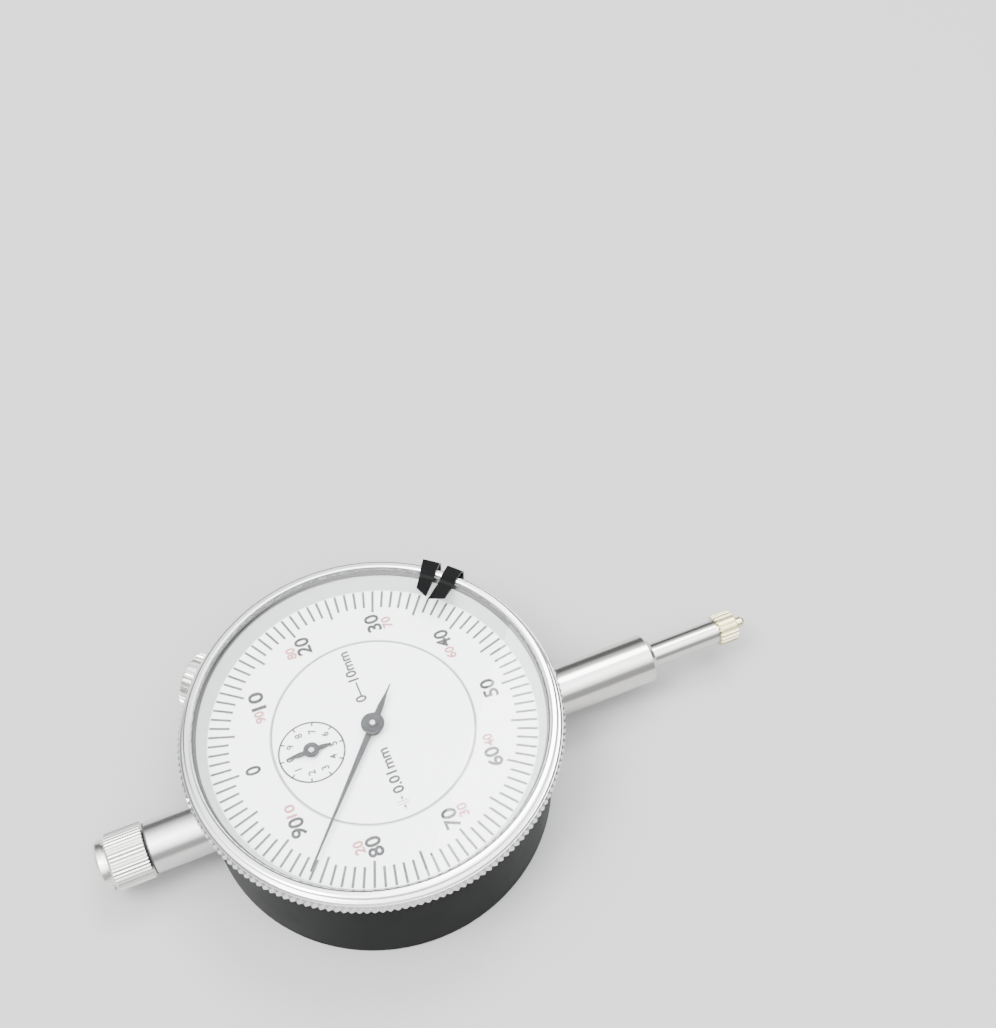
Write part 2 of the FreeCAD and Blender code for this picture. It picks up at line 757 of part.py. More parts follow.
def plates():
    """The two plates of the movement, the pillars between them, and their screws."""
    lugs = [polar(lug_ring, angle) for angle in LUG_ANGLES]
    pillars = [polar(pillar_ring, angle) for angle in PILLAR_ANGLES]
    lower = doc.addObject("PartDesign::Body", "lower_plate")
    pad(lower, "lower_disc", "XY_Plane", 0, driving("lower_plate"), circles=[(0, 0, plate_radius)])
    holes = [(0, 0, bush_radius), (0, counter_offset, bush_radius)]
    holes.append((-drive_x, -drive_y, pinion_pitch_radius + 0.5))
    holes += [(x, y, PLATE_SCREW_RADIUS + static_fit) for x, y in lugs]
    holes += [(x, y, PILLAR_FOOT_RADIUS + static_fit) for x, y in pillars]
    holes += [(x, y, BRIDGE_SCREW_RADIUS + static_fit) for x, y in bridge_posts()]
    pocket(lower, "lower_holes", "XY_Plane", driving("lower_plate"), driving("lower_plate"), circles=holes)
    keep(place(lower, z=plate_z), "lower_plate")

    upper = doc.addObject("PartDesign::Body", "upper_plate")
    pad(upper, "upper_disc", "XY_Plane", 0, driving("upper_plate"), circles=[(0, 0, upper_radius)])
    holes = [(0, 0, bush_radius + 0.3), (0, counter_offset, bush_radius + 0.3)]
    holes.append((-drive_x, -drive_y, bush_radius))
    holes += [(x, y, PLATE_SCREW_RADIUS + static_fit) for x, y in pillars]
    pocket(upper, "upper_holes", "XY_Plane", driving("upper_plate"), driving("upper_plate"), circles=holes)
    keep(place(upper, z=upper_z), "upper_plate")

    posts = []
    post_screws = []
    foot = -driving("lower_plate")
    top = driving("plate_gap")
    tapped = PLATE_SCREW_RADIUS + static_fit
    for index, (x, y) in enumerate(pillars, start=1):
        post = turned(f"pillar_{index}", [
            (0, foot), (PILLAR_FOOT_RADIUS, foot), (PILLAR_FOOT_RADIUS, 0), (1.6, 0), (1.6, top),
            (tapped, top), (tapped, top - 2.2), (0, top - 2.2),
        ])
        posts.append(place(post, x, y, plate_top))
        reach = driving("upper_plate") + 2.0
        post_screws.append(screw(f"pillar_screw_{index}", x, y, upper_top, reach=reach))
    keep(group("plate_pillars", posts), "plate_pillars")
    keep(group("pillar_screws", post_screws), "pillar_screws")
    lug_screws = [
        screw(f"plate_screw_{index}", x, y, plate_top, reach=driving("lower_plate") + 1.8)
        for index, (x, y) in enumerate(lugs, start=1)
    ]
    keep(group("plate_screws", lug_screws), "plate_screws")


def bridge_posts():
    """Where the two posts of the pinion bridge stand."""
    x = -(drive_x + 1.2)
    return [(x, -(drive_y + 4.4)), (x, -(drive_y - 4.4))]


def pinion_bridge():
    """The bridge behind the spindle that carries the rear pivot of the drive arbor."""
    bridge_z = spindle_z - spindle_radius - 2.0
    posts = bridge_posts()
    body = doc.addObject("PartDesign::Body", "pinion_bridge")
    bar = rectangle(posts[0][0] - 1.4, -(drive_x - 1.6), posts[0][1] - 1.4, posts[1][1] + 1.4)
    pad(body, "bridge_bar", "XY_Plane", 0, 1.0, [bar])
    rise = plate_z - bridge_z
    pad(body, "bridge_posts", "XY_Plane", 0, rise, circles=[(x, y, 1.1) for x, y in posts])
    pocket(body, "bridge_bush_hole", "XY_Plane", 1.0, 1.0, circles=[(-drive_x, -drive_y, bush_radius)])
    pocket(body, "bridge_screw_holes", "XY_Plane", rise, 2.2,
           circles=[(x, y, BRIDGE_SCREW_RADIUS + static_fit) for x, y in posts])
    keep(place(body, z=bridge_z), "pinion_bridge")
    screws = [
        screw(f"bridge_screw_{index}", x, y, plate_top, head=1.1, thick=0.5,
              shank=BRIDGE_SCREW_RADIUS, reach=driving("lower_plate") + 1.8)
        for index, (x, y) in enumerate(posts, start=1)
    ]
    keep(group("bridge_screws", screws), "bridge_screws")
    return bridge_z


def bush_pair(name, x, y, rear_z, rear_height, front_bore):
    """The rear and front bushes of one arbor, as two separate rings."""
    outer = bush_radius - static_fit
    rear = tube(f"{name}_rear", pivot_radius + pivot_fit, outer, 0, rear_height)
    wide = outer if front_bore.value <= pivot_radius.value + pivot_fit.value else outer + 0.3
    front = tube(f"{name}_front", front_bore, wide, 0, driving("upper_plate"))
    place(rear, x, y, rear_z)
    place(front, x, y, upper_z)
    keep(group(name, [rear, front]), name)


def bushes(bridge_z):
    """The pivot bushes of the three arbors."""
    plate = driving("lower_plate")
    through = arbor_radius + pivot_fit
    bush_pair("centre_bushes", 0, 0, plate_z, plate, through)
    bush_pair("takeup_bushes", 0, counter_offset, plate_z, plate, through)
    bush_pair("drive_bushes", -drive_x, -drive_y, bridge_z, as_size(1.0), pivot_radius + pivot_fit)


def mesh_phase(pinion_phase, direction, pinion_teeth, gear_teeth):
    """The angle of a tooth of the gear that meshes with a pinion tooth at pinion_phase.

    direction is the angle from the pinion's centre to the gear's.
    """
    lead = (pinion_teeth / gear_teeth) * (pinion_phase - direction)
    return direction + math.pi - lead + math.pi / gear_teeth


def large_gear(name, phase, bore):
    """A thin brass gear of 100 teeth with five round openings and a bore."""
    corners = gear_corners(LARGE_GEAR_TEETH, gear_module.value, phase)
    rim = extruded(f"{name}_rim", corners, gear_width)
    tools = [cylinder(f"{name}_bore", bore, gear_width)]
    web_radius = counter_offset * 0.5
    for index in range(5):
        x, y = polar(web_radius, 36 + 72 * index)
        tools.append(cylinder(f"{name}_opening_{index + 1}", counter_offset * 0.17, gear_width, x, y, 0))
    return cut(name, rim, fuse(f"{name}_tools", tools))


def gear_train(bridge_z):
    """The three arbors of the train, in mesh with the rack and with one another."""
    pinion_phase = 0.0
    drive_direction = math.atan2(-drive_y.value, -drive_x.value)
    drive_gear_phase = mesh_phase(pinion_phase, drive_direction, CENTRE_PINION_TEETH, LARGE_GEAR_TEETH)
    takeup_phase = mesh_phase(pinion_phase, math.pi / 2, CENTRE_PINION_TEETH, LARGE_GEAR_TEETH)

    # Drive arbor: a tooth of its pinion points at the rack.
    low = bridge_z + 0.1
    step = bridge_z + 1.1
    hub = arbor_radius + 0.3
    arbor = turned("drive_arbor_rod", [
        (0, low), (pivot_radius, low), (pivot_radius, step), (hub, step), (hub, upper_z - 0.1),
        (pivot_radius, upper_z - 0.1), (pivot_radius, upper_top), (0, upper_top),
    ])
    teeth_z = spindle_z - 1.5
    rack_teeth = extruded("rack_pinion_teeth", gear_corners(RACK_PINION_TEETH, rack_module.value, 0), 3.0)
    place(rack_teeth, z=teeth_z)
    pinion = fuse("rack_pinion", [arbor, rack_teeth])
    keep(place(pinion, -drive_x, -drive_y, 0), "rack_pinion")
    wheel = large_gear("drive_wheel", drive_gear_phase, hub + static_fit)
    collar = tube("drive_collar", hub + static_fit, hub + 1.1, gear_width, gear_width + 0.7)
    wheel_on_collar = fuse("drive_gear", [wheel, collar])
    keep(place(wheel_on_collar, -drive_x, -drive_y, gear_z), "drive_gear")

    # Centre arbor: pinion between the plates, stepped end for the main pointer.
    pointer_z = dial_z + driving("pointer_height")
    top = pointer_z + 0.85
    arbor = turned("centre_arbor_rod", [
        (0, plate_z + 0.1), (pivot_radius, plate_z + 0.1), (pivot_radius, plate_top + 0.1),
        (arbor_radius, plate_top + 0.1), (arbor_radius, pointer_z - 0.2),
        (pivot_radius, pointer_z - 0.2), (pivot_radius, top), (0, top),
    ])
    corners = gear_corners(CENTRE_PINION_TEETH, gear_module.value, pinion_phase)
    teeth = extruded("centre_pinion_teeth", corners, gear_width + 0.6)
    place(teeth, z=gear_z - 0.3)
    keep(fuse("centre_pinion", [arbor, teeth]), "centre_pinion")

    # Take-up arbor: gear, hairspring collet, and the end that carries the small pointer.
    top = dial_z + 0.75
    arbor = turned("takeup_arbor", [
        (0, plate_z + 0.1), (pivot_radius, plate_z + 0.1), (pivot_radius, plate_top + 0.1),
        (arbor_radius, plate_top + 0.1), (arbor_radius, dial_z + 0.3),
        (pivot_radius, dial_z + 0.3), (pivot_radius, top), (0, top),
    ])
    keep(place(arbor, y=counter_offset), "takeup_arbor")
    wheel = large_gear("takeup_gear", takeup_phase, arbor_radius + static_fit)
    keep(place(wheel, y=counter_offset, z=gear_z), "takeup_gear")
    collet = tube("hairspring_collet", arbor_radius + static_fit, arbor_radius + 0.6,
                  gear_width + 0.8, gear_width + 1.6)
    keep(place(collet, y=counter_offset, z=gear_z), "hairspring_collet")


def hairspring():
    """The flat hairspring: a band wound in half circles about two centres, and its stud."""
    thickness = 0.12
    height = 0.5
    step = 0.36
    radius = arbor_radius.value + 0.7
    half_turns = 16
    inside = []
    outside = []
    centre = 0.0
    for index in range(half_turns):
        sign = 1 if index % 2 == 0 else -1
        near = Vector(centre + sign * radius, 0, 0)
        far = Vector(centre - sign * radius, 0, 0)
        middle = Vector(centre, sign * radius, 0)
        shift = Vector(sign * thickness, 0, 0)
        rise = Vector(0, sign * thickness, 0)
        inside.append(Part.Arc(near, middle, far).toShape())
        outside.append(Part.Arc(near + shift, middle + rise, far - shift).toShape())
        centre = centre + sign * step / 2
        radius = radius + step / 2
    first = Part.makeLine(inside[0].Vertexes[0].Point, outside[0].Vertexes[0].Point)
    last = Part.makeLine(inside[-1].Vertexes[-1].Point, outside[-1].Vertexes[-1].Point)
    edges = inside + [last] + outside[::-1] + [first]
    face = doc.addObject("Part::Feature", "hairspring_outline")
    face.Shape = Part.Face(Part.Wire(Part.__sortEdges__(edges)))
    band = raised("hairspring", face, height)
    spring_z = gear_z + gear_width + 0.95
    keep(place(band, y=counter_offset, z=spring_z), "hairspring")
    end_x = inside[-1].Vertexes[-1].Point.x
    stud_radius = 0.4
    stud_x = end_x + thickness + stud_radius + 0.02
    stud_z = spring_z - 0.3
    stud = cylinder("hairspring_stud", stud_radius, upper_z - stud_z, stud_x, counter_offset, stud_z)
    keep(stud, "hairspring_stud")


def return_spring():
    """The spindle's return spring with an eye at each end, its anchor post and the guide rail."""
    coil_radius = 1.2
    wire = 0.18
    eye_radius = 1.05
    low = -(spring_anchor_y - 2 * eye_radius)
    high = guide_pin_y - 2 * eye_radius
    length = high - low
    pitch = 0.9
    body = doc.addObject("PartDesign::Body", "spring_coil")
    section = new_sketch(body, "spring_wire", "XZ_Plane", 0)
    draw_circle(section, coil_radius, 0, wire)
    helix = body.newObject("PartDesign::AdditiveHelix", "spring_helix")
    helix.Profile = section
    helix.ReferenceAxis = (section, ["V_Axis"])
    helix.Mode = 0
    helix.Pitch = pitch
    bind(helix, "Height", length)
    doc.recompute()
    place(body, spring_x, low, spindle_z, TOWARDS_CAP)
    post_eye = doc.addObject("Part::Torus", "post_eye")
    post_eye.Radius1 = eye_radius
    post_eye.Radius2 = wire
    place(post_eye, spring_x, -spring_anchor_y, spindle_z)
    pin_eye = doc.addObject("Part::Torus", "pin_eye")
    pin_eye.Radius1 = eye_radius
    pin_eye.Radius2 = wire
    place(pin_eye, spring_x, guide_pin_y, spindle_z, SIDEWAYS)
    keep(group("return_spring", [body, post_eye, pin_eye]), "return_spring")
    anchor = cylinder("spring_anchor", 0.8, plate_z - spindle_z + 1.2, spring_x, -spring_anchor_y,
                      spindle_z - 1.2)
    keep(anchor, "spring_anchor")

    rail_x = spindle_radius + 1.4
    rail_low = guide_pin_y - 1.6
    rail_high = guide_pin_y + travel + 1.6
    rail = doc.addObject("PartDesign::Body", "guide_rail")
    side = rectangle(rail_low, rail_high, spindle_z - 1.6, plate_z)
    pad(rail, "rail_bar", "YZ_Plane", rail_x, 1.4, [side])
    half_slot = pin_radius + running_fit
    slot = rectangle(rail_low + 0.9, rail_high - 0.9, spindle_z - half_slot, spindle_z + half_slot)
    pocket(rail, "rail_slot", "YZ_Plane", rail_x + 1.4, 1.4, [slot])
    keep(rail, "guide_rail")


# ---------------------------------------------------------------- dial and pointers


def dial_centre():
    """The fixed middle of the dial, and the feet that hold it to the upper plate."""
    thickness = driving("plate_thickness")
    disc = doc.addObject("PartDesign::Body", "dial_centre")
    pad(disc, "centre_disc", "XY_Plane", -thickness, thickness,
        circles=[(0, 0, driving("scale_inner") - gap)])
    pocket(disc, "arbor_holes", "XY_Plane", 0, thickness,
           circles=[(0, 0, 1.2), (0, counter_offset, 0.9)])
    keep(place(disc, z=dial_z), "dial_centre")
    feet = []
    for index, side in enumerate((-1, 1), start=1):
        foot = cylinder(f"dial_foot_{index}", 0.9, dial_z - thickness - upper_top,
                        driving("scale_inner") * 0.65 * side, -4, upper_top)
        feet.append(foot)
    keep(group("dial_feet", feet), "dial_feet")


def main_pointer():
    """The long pointer at its rest reading, with a tapered tail, and the boss that presses it on."""
    thickness = driving("pointer_thickness")
    length = driving("pointer_length")
    tail = driving("pointer_tail")
    hub = driving("hub_radius")
    turn = Rotation(Vector(0, 0, 1), -(REST_READING * DIVISION + BEZEL_SETTING))
    blade = doc.addObject("PartDesign::Body", "main_pointer")
    outline = [
        (-0.52, 0), (-0.24, length * 0.55), (-0.12, length), (0.12, length), (0.24, length * 0.55),
        (0.52, 0), (0.46, -(tail * 0.45)), (0.14, -(tail * 0.8)), (0.1, -tail), (-0.1, -tail),
        (-0.14, -(tail * 0.8)), (-0.46, -(tail * 0.45)),
    ]
    pad(blade, "pointer_blade", "XY_Plane", 0, thickness, [outline])
    pad(blade, "pointer_disc", "XY_Plane", 0, thickness, circles=[(0, 0, hub - 0.5)])
    bore = pivot_radius + static_fit
    pocket(blade, "pointer_hole", "XY_Plane", thickness, thickness, circles=[(0, 0, bore)])
    keep(place(blade, z=dial_z + driving("pointer_height"), turn=turn), "main_pointer")
    boss = turned("pointer_boss", [
        (bore, thickness + static_fit), (hub - 0.15, thickness + static_fit), (hub, thickness + 0.2),
        (hub, thickness + 0.4), (hub - 0.25, thickness + 0.55), (hub - 0.65, thickness + 0.45),
        (0.85, thickness + 0.45), (0.75, thickness + 0.65), (bore, thickness + 0.65),
    ])
    keep(place(boss, z=dial_z + driving("pointer_height")), "pointer_boss")


def small_pointer():
    """The pointer of the turn counter, a slim leaf at both ends, and its boss."""
    thickness = driving("pointer_thickness")
    length = driving("small_pointer")
    tail = driving("small_tail")
    blade = doc.addObject("PartDesign::Body", "small_pointer")
    outline = [
        (-0.3, 0), (-0.36, length * 0.5), (-0.08, length), (0.08, length), (0.36, length * 0.5),
        (0.3, 0), (0.36, -(tail * 0.6)), (0.08, -tail), (-0.08, -tail), (-0.36, -(tail * 0.6)),
    ]
    pad(blade, "small_blade", "XY_Plane", 0, thickness, [outline])
    pad(blade, "small_disc", "XY_Plane", 0, thickness, circles=[(0, 0, 0.9)])
    bore = pivot_radius + static_fit
    level = dial_z + 0.32
    pocket(blade, "small_hole", "XY_Plane", thickness, thickness, circles=[(0, 0, bore)])
    keep(place(blade, y=counter_offset, z=level), "small_pointer")
    boss = tube("small_boss", bore, 1.2, thickness + static_fit, thickness + 0.3, chamfer=0.06)
    keep(place(boss, y=counter_offset, z=level), "small_pointer_boss")


# ---------------------------------------------------------------- bezel


def bezel():
    """The bezel: bright rounded ring, knurled flange and the skirt that turns inside the case."""
    groove = snap_wire + 0.15
    groove_floor = rim_bore - snap_wire - 0.12
    flange_root = flange_radius - 0.45
    top = driving("ring_top")
    flange_top = driving("flange_top")
    seat = driving("crystal_seat")
    scale_outer = case_radius - driving("scale_margin")
    core = turned("bezel_core", [
        (skirt_inner, -driving("skirt_depth")), (skirt_outer, -driving("skirt_depth")),
        (skirt_outer, -snap_drop - groove), (groove_floor, -snap_drop - groove),
        (groove_floor, -snap_drop + groove), (skirt_outer, -snap_drop + groove),
        (skirt_outer, flange_low), (flange_root, flange_low), (flange_root, flange_top),
        (ring_outer + 0.32, flange_top + 0.22), (ring_outer + 0.27, flange_top),
        (ring_outer - 0.05, flange_top), (ring_outer, flange_top + 0.5),
        (ring_outer, top - 0.3), (ring_outer - 0.12, top - 0.1), (ring_outer - 0.35, top),
        (ring_inner + 0.4, top), (ring_inner + 0.15, top - 0.1), (ring_inner, top - 0.35),
        (ring_inner, seat), (ring_inner - 0.5, seat),
        (scale_outer, 0), (skirt_inner, 0),
    ])
    tips = flange_radius.value
    corners = knurl_corners(BEZEL_KNURLS, tips, tips - BEZEL_KNURL_DEPTH)
    ridges = place(extruded("bezel_ridges", corners, flange_top - flange_low), z=flange_low)
    envelope = turned("bezel_envelope", [
        (skirt_outer + 0.2, flange_low), (flange_radius - 0.25, flange_low),
        (flange_radius, flange_low + 0.25), (flange_radius, flange_top - 0.35),
        (flange_radius - BEZEL_KNURL_DEPTH, flange_top), (skirt_outer + 0.2, flange_top),
    ])
    band = common("bezel_band", ridges, envelope)
    keep(place(fuse("bezel", [core, band]), z=dial_z), "bezel")


def bezel_contents():
    """What turns with the bezel: crystal, its seal, the dial ring and the ring that holds it."""
    seat = driving("crystal_seat")
    seal = driving("seal_thickness")
    thickness = driving("crystal_thickness")
    plate = driving("plate_thickness")
    edge = ring_inner - static_fit
    seal_ring = tube("crystal_seal", ring_inner - 0.5, edge, seat, seat + seal)
    low = seat + seal
    crystal = turned("crystal", [
        (0, low), (edge, low), (edge, low + thickness - 0.08), (edge - 0.08, low + thickness),
        (0, low + thickness),
    ])
    outer = skirt_inner - static_fit
    ring = tube("dial_ring", driving("scale_inner"), outer, -plate, 0)
    retainer = tube("dial_retaining_ring", outer - 1.0, outer, -plate - 0.9, -plate - 0.02)
    for piece in (seal_ring, crystal, ring, retainer):
        keep(place(piece, z=dial_z), piece.Name)
    wire = doc.addObject("Part::Torus", "bezel_snap_ring")
    bind(wire, "Radius1", rim_bore)
    wire.Radius2 = snap_wire
    opening = 15
    wire.Angle3 = 360 - opening
    # The ring's opening leaves room for the lock's bush.
    turn = Rotation(Vector(0, 0, 1), 90 - sheet.lock_angle + opening / 2)
    keep(place(wire, z=dial_z - snap_drop, turn=turn), "bezel_snap_ring")


def limit_markers():
    """The two tolerance markers: strips bent over the bezel ring, with slanted inner tips."""
    thick = driving("marker_thickness")
    lift = running_fit + 0.03
    crest = driving("ring_top") + lift
    glass = driving("crystal_seat") + driving("seal_thickness") + driving("crystal_thickness") + lift
    hook = flange_low + 0.6
    leg = flange_radius + lift
    bend = ring_inner - lift
    section = [
        (leg, hook), (leg + thick, hook), (leg + thick, crest - 0.5), (leg - 0.25, crest + thick),
        (ring_inner + 0.35, crest + thick), (bend - 0.25, glass + thick + 0.1),
        (bend - 0.75, glass + thick), (ring_inner - 6, glass + thick), (ring_inner - 6, glass),
        (bend - 0.8, glass), (bend - 0.3, glass + 0.1), (bend, driving("ring_top")),
        (ring_inner + 0.3, crest), (leg - 0.4, crest), (leg, crest - 0.65),
    ]
    for name, plan in MARKER_PLANS.items():
        band = turned(f"{name}_band", section)
        corners = []
        for distance, angle in plan:
            corners.append(polar(ring_inner.value + distance, 90 - angle))
        outline = extruded(f"{name}_plan", corners, 6)
        keep(place(common(name, band, outline), z=dial_z), name)


# ---------------------------------------------------------------- bezel lock

LOCK_OUTWARD = Vector(math.sin(math.radians(sheet.lock_angle)), math.cos(math.radians(sheet.lock_angle)), 0)
LOCK_TURN = Rotation(Vector(0, 0, 1), LOCK_OUTWARD)
lock_z = dial_z - driving("lock_drop")


def lock_place(piece, reach):
    """Stand a piece on the lock's axis, at a distance from the dial's axis."""
    reach = as_size(reach)
    return place(piece, reach * LOCK_OUTWARD.x, reach * LOCK_OUTWARD.y, lock_z, LOCK_TURN)


def lock_rod(name, radius, start, end):
    """A cylinder along the lock's axis, between two distances from the dial's axis."""
    rod = doc.addObject("Part::Cylinder", name)
    bind(rod, "Radius", radius)
    bind(rod, "Height", end - start)
    return lock_place(rod, start)


def bezel_lock():
    """The lock: threaded bush in the case wall, brake shoe, and knurled knob on its screw."""
    screw_radius = driving("lock_screw_radius")
    bush_start = rim_bore + 0.05
    bush_end = case_radius + 0.9
    bush_radius_outside = driving("lock_bush_radius")
    bush = tube("lock_bush", screw_radius + running_fit, bush_radius_outside, 0, bush_end - bush_start)
    keep(lock_place(bush, bush_start), "lock_bush")
    shoe_start = skirt_outer + 0.04
    shoe_length = 0.8
    shoe = cylinder("lock_shoe", screw_radius, shoe_length)
    keep(lock_place(shoe, shoe_start), "lock_shoe")
    screw_start = shoe_start + shoe_length + 0.02
    knob_start = bush_end + gap
    shank = cylinder("lock_screw", screw_radius, knob_start - screw_start)
    keep(lock_place(shank, screw_start), "lock_screw")
    width = driving("knob_width")
    knob = knurled(
        "lock_knob", KNOB_KNURLS, driving("knob_radius"), KNOB_KNURL_DEPTH, 0, width,
        chamfer=0.35, land=0.35,
    )
    keep(lock_place(knob, knob_start), "lock_knob")


# ---------------------------------------------------------------- build, check and write

case_body()
back_cover()
stem_and_sleeve()
spindle()
guide_pin()
contact_point()
lifting_cap()
plates()
rear_z = pinion_bridge()
bushes(rear_z)
gear_train(rear_z)
hairspring()
return_spring()
dial_centre()
main_pointer()
small_pointer()
bezel()
bezel_contents()
limit_markers()
bezel_lock()
doc.recompute()

for item in doc.Objects:
    if "Invalid" in item.State or "Error" in item.State:
        raise RuntimeError(f"{item.Label}: {item.State}")
for node in NODES:
    if node.Shape.isNull() or not node.Shape.isValid():
        raise RuntimeError(f"{node.Label} has no valid shape")

os.makedirs("parts", exist_ok=True)
for node in NODES:
    node.Shape.exportStep(f"parts/{node.Label}.step")
    print(f"{node.Label:24s} {node.Shape.Volume:10.2f} mm3, {len(node.Shape.Solids)} solid(s)")
print(len(NODES), "sub-parts")
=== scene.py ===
"""Looks of the dial indicator: finishes, the printed dial, floor, light and camera, around the CAD parts."""

import logging
import math
from collections.abc import Sequence
from dataclasses import dataclass, field
from enum import Enum

import bpy
from mathutils import Matrix, Vector


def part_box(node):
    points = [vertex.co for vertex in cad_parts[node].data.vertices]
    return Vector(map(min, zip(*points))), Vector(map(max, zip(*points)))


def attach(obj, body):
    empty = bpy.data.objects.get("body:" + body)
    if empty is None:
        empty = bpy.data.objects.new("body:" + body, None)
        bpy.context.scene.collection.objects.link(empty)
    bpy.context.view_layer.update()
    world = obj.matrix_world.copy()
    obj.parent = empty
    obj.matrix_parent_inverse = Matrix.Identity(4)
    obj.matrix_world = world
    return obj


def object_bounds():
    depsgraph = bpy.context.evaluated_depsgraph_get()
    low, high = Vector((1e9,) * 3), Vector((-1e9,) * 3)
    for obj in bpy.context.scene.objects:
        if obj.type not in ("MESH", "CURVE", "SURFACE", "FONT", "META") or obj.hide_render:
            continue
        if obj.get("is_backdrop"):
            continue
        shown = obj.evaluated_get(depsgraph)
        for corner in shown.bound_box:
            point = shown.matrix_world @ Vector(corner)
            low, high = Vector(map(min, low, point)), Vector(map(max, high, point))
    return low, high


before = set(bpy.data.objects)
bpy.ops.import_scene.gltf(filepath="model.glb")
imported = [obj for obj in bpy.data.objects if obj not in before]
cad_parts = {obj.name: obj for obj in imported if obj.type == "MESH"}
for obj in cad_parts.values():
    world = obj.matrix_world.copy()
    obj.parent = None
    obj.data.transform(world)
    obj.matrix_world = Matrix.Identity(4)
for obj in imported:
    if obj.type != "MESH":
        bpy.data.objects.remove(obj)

LOG = logging.getLogger("dial_indicator")
MM = 0.001

Color = tuple[float, float, float]
Point = tuple[float, float]


# ---------------------------------------------------------------- shader graphs


class Graph:
    """A node tree with short calls for adding nodes and joining their sockets."""

    def __init__(self, tree: bpy.types.NodeTree) -> None:
        """Keep the tree.

        Args:
            tree: The material's or the group's node tree.
        """
        self.tree = tree

    def add(self, kind: str, **settings: object) -> bpy.types.Node:
        """Add a node.

        Args:
            kind: Blender's name for the node's type.
            **settings: Properties of the node, set by name.

        Returns:
            The new node.
        """
        node = self.tree.nodes.new(kind)
        for name, value in settings.items():
            setattr(node, name, value)
        return node

    def join(self, source: bpy.types.NodeSocket, target: bpy.types.NodeSocket) -> None:
        """Join two sockets.

        Args:
            source: The socket that gives the value.
            target: The socket that takes it.
        """
        self.tree.links.new(source, target)

    def feed(self, target: bpy.types.NodeSocket, value: object) -> None:
        """Give a socket a value, or join it to the socket that gives the value.

        Args:
            target: The socket that takes the value.
            value: The value, or the socket that gives it.
        """
        if isinstance(value, bpy.types.NodeSocket):
            self.join(value, target)
        else:
            target.default_value = value

    def math(self, operation: str, first: object, second: object = 0.0) -> bpy.types.NodeSocket:
        """Work out one number from two.

        Args:
            operation: Blender's name for the operation.
            first: A number or a socket.
            second: A number or a socket.

        Returns:
            The socket that holds the result.
        """
        node = self.add("ShaderNodeMath", operation=operation)
        self.feed(node.inputs[0], first)
        self.feed(node.inputs[1], second)
        return node.outputs[0]

    def ramp(self, value: object, low: float, high: float, start: float, end: float) -> bpy.types.NodeSocket:
        """Map a number from one range to another, and hold it there.

        Args:
            value: A number or a socket.
            low: The input that gives start.
            high: The input that gives end.
            start: The result at low.
            end: The result at high.

        Returns:
            The socket that holds the result.
        """
        node = self.add("ShaderNodeMapRange")
        self.feed(node.inputs["Value"], value)
        node.inputs["From Min"].default_value = low
        node.inputs["From Max"].default_value = high
        node.inputs["To Min"].default_value = start
        node.inputs["To Max"].default_value = end
        return node.outputs["Result"]

    def mix(self, share: object, first: object, second: object) -> bpy.types.NodeSocket:
        """Mix two colours.

        Args:
            share: How much of the second colour shows, a number or a socket.
            first: An RGBA colour or a socket.
            second: An RGBA colour or a socket.

        Returns:
            The socket that holds the mixed colour.
        """
        node = self.add("ShaderNodeMix", data_type="RGBA")
        self.feed(node.inputs["Factor"], share)
        self.feed(node.inputs[6], first)
        self.feed(node.inputs[7], second)
        return node.outputs[2]


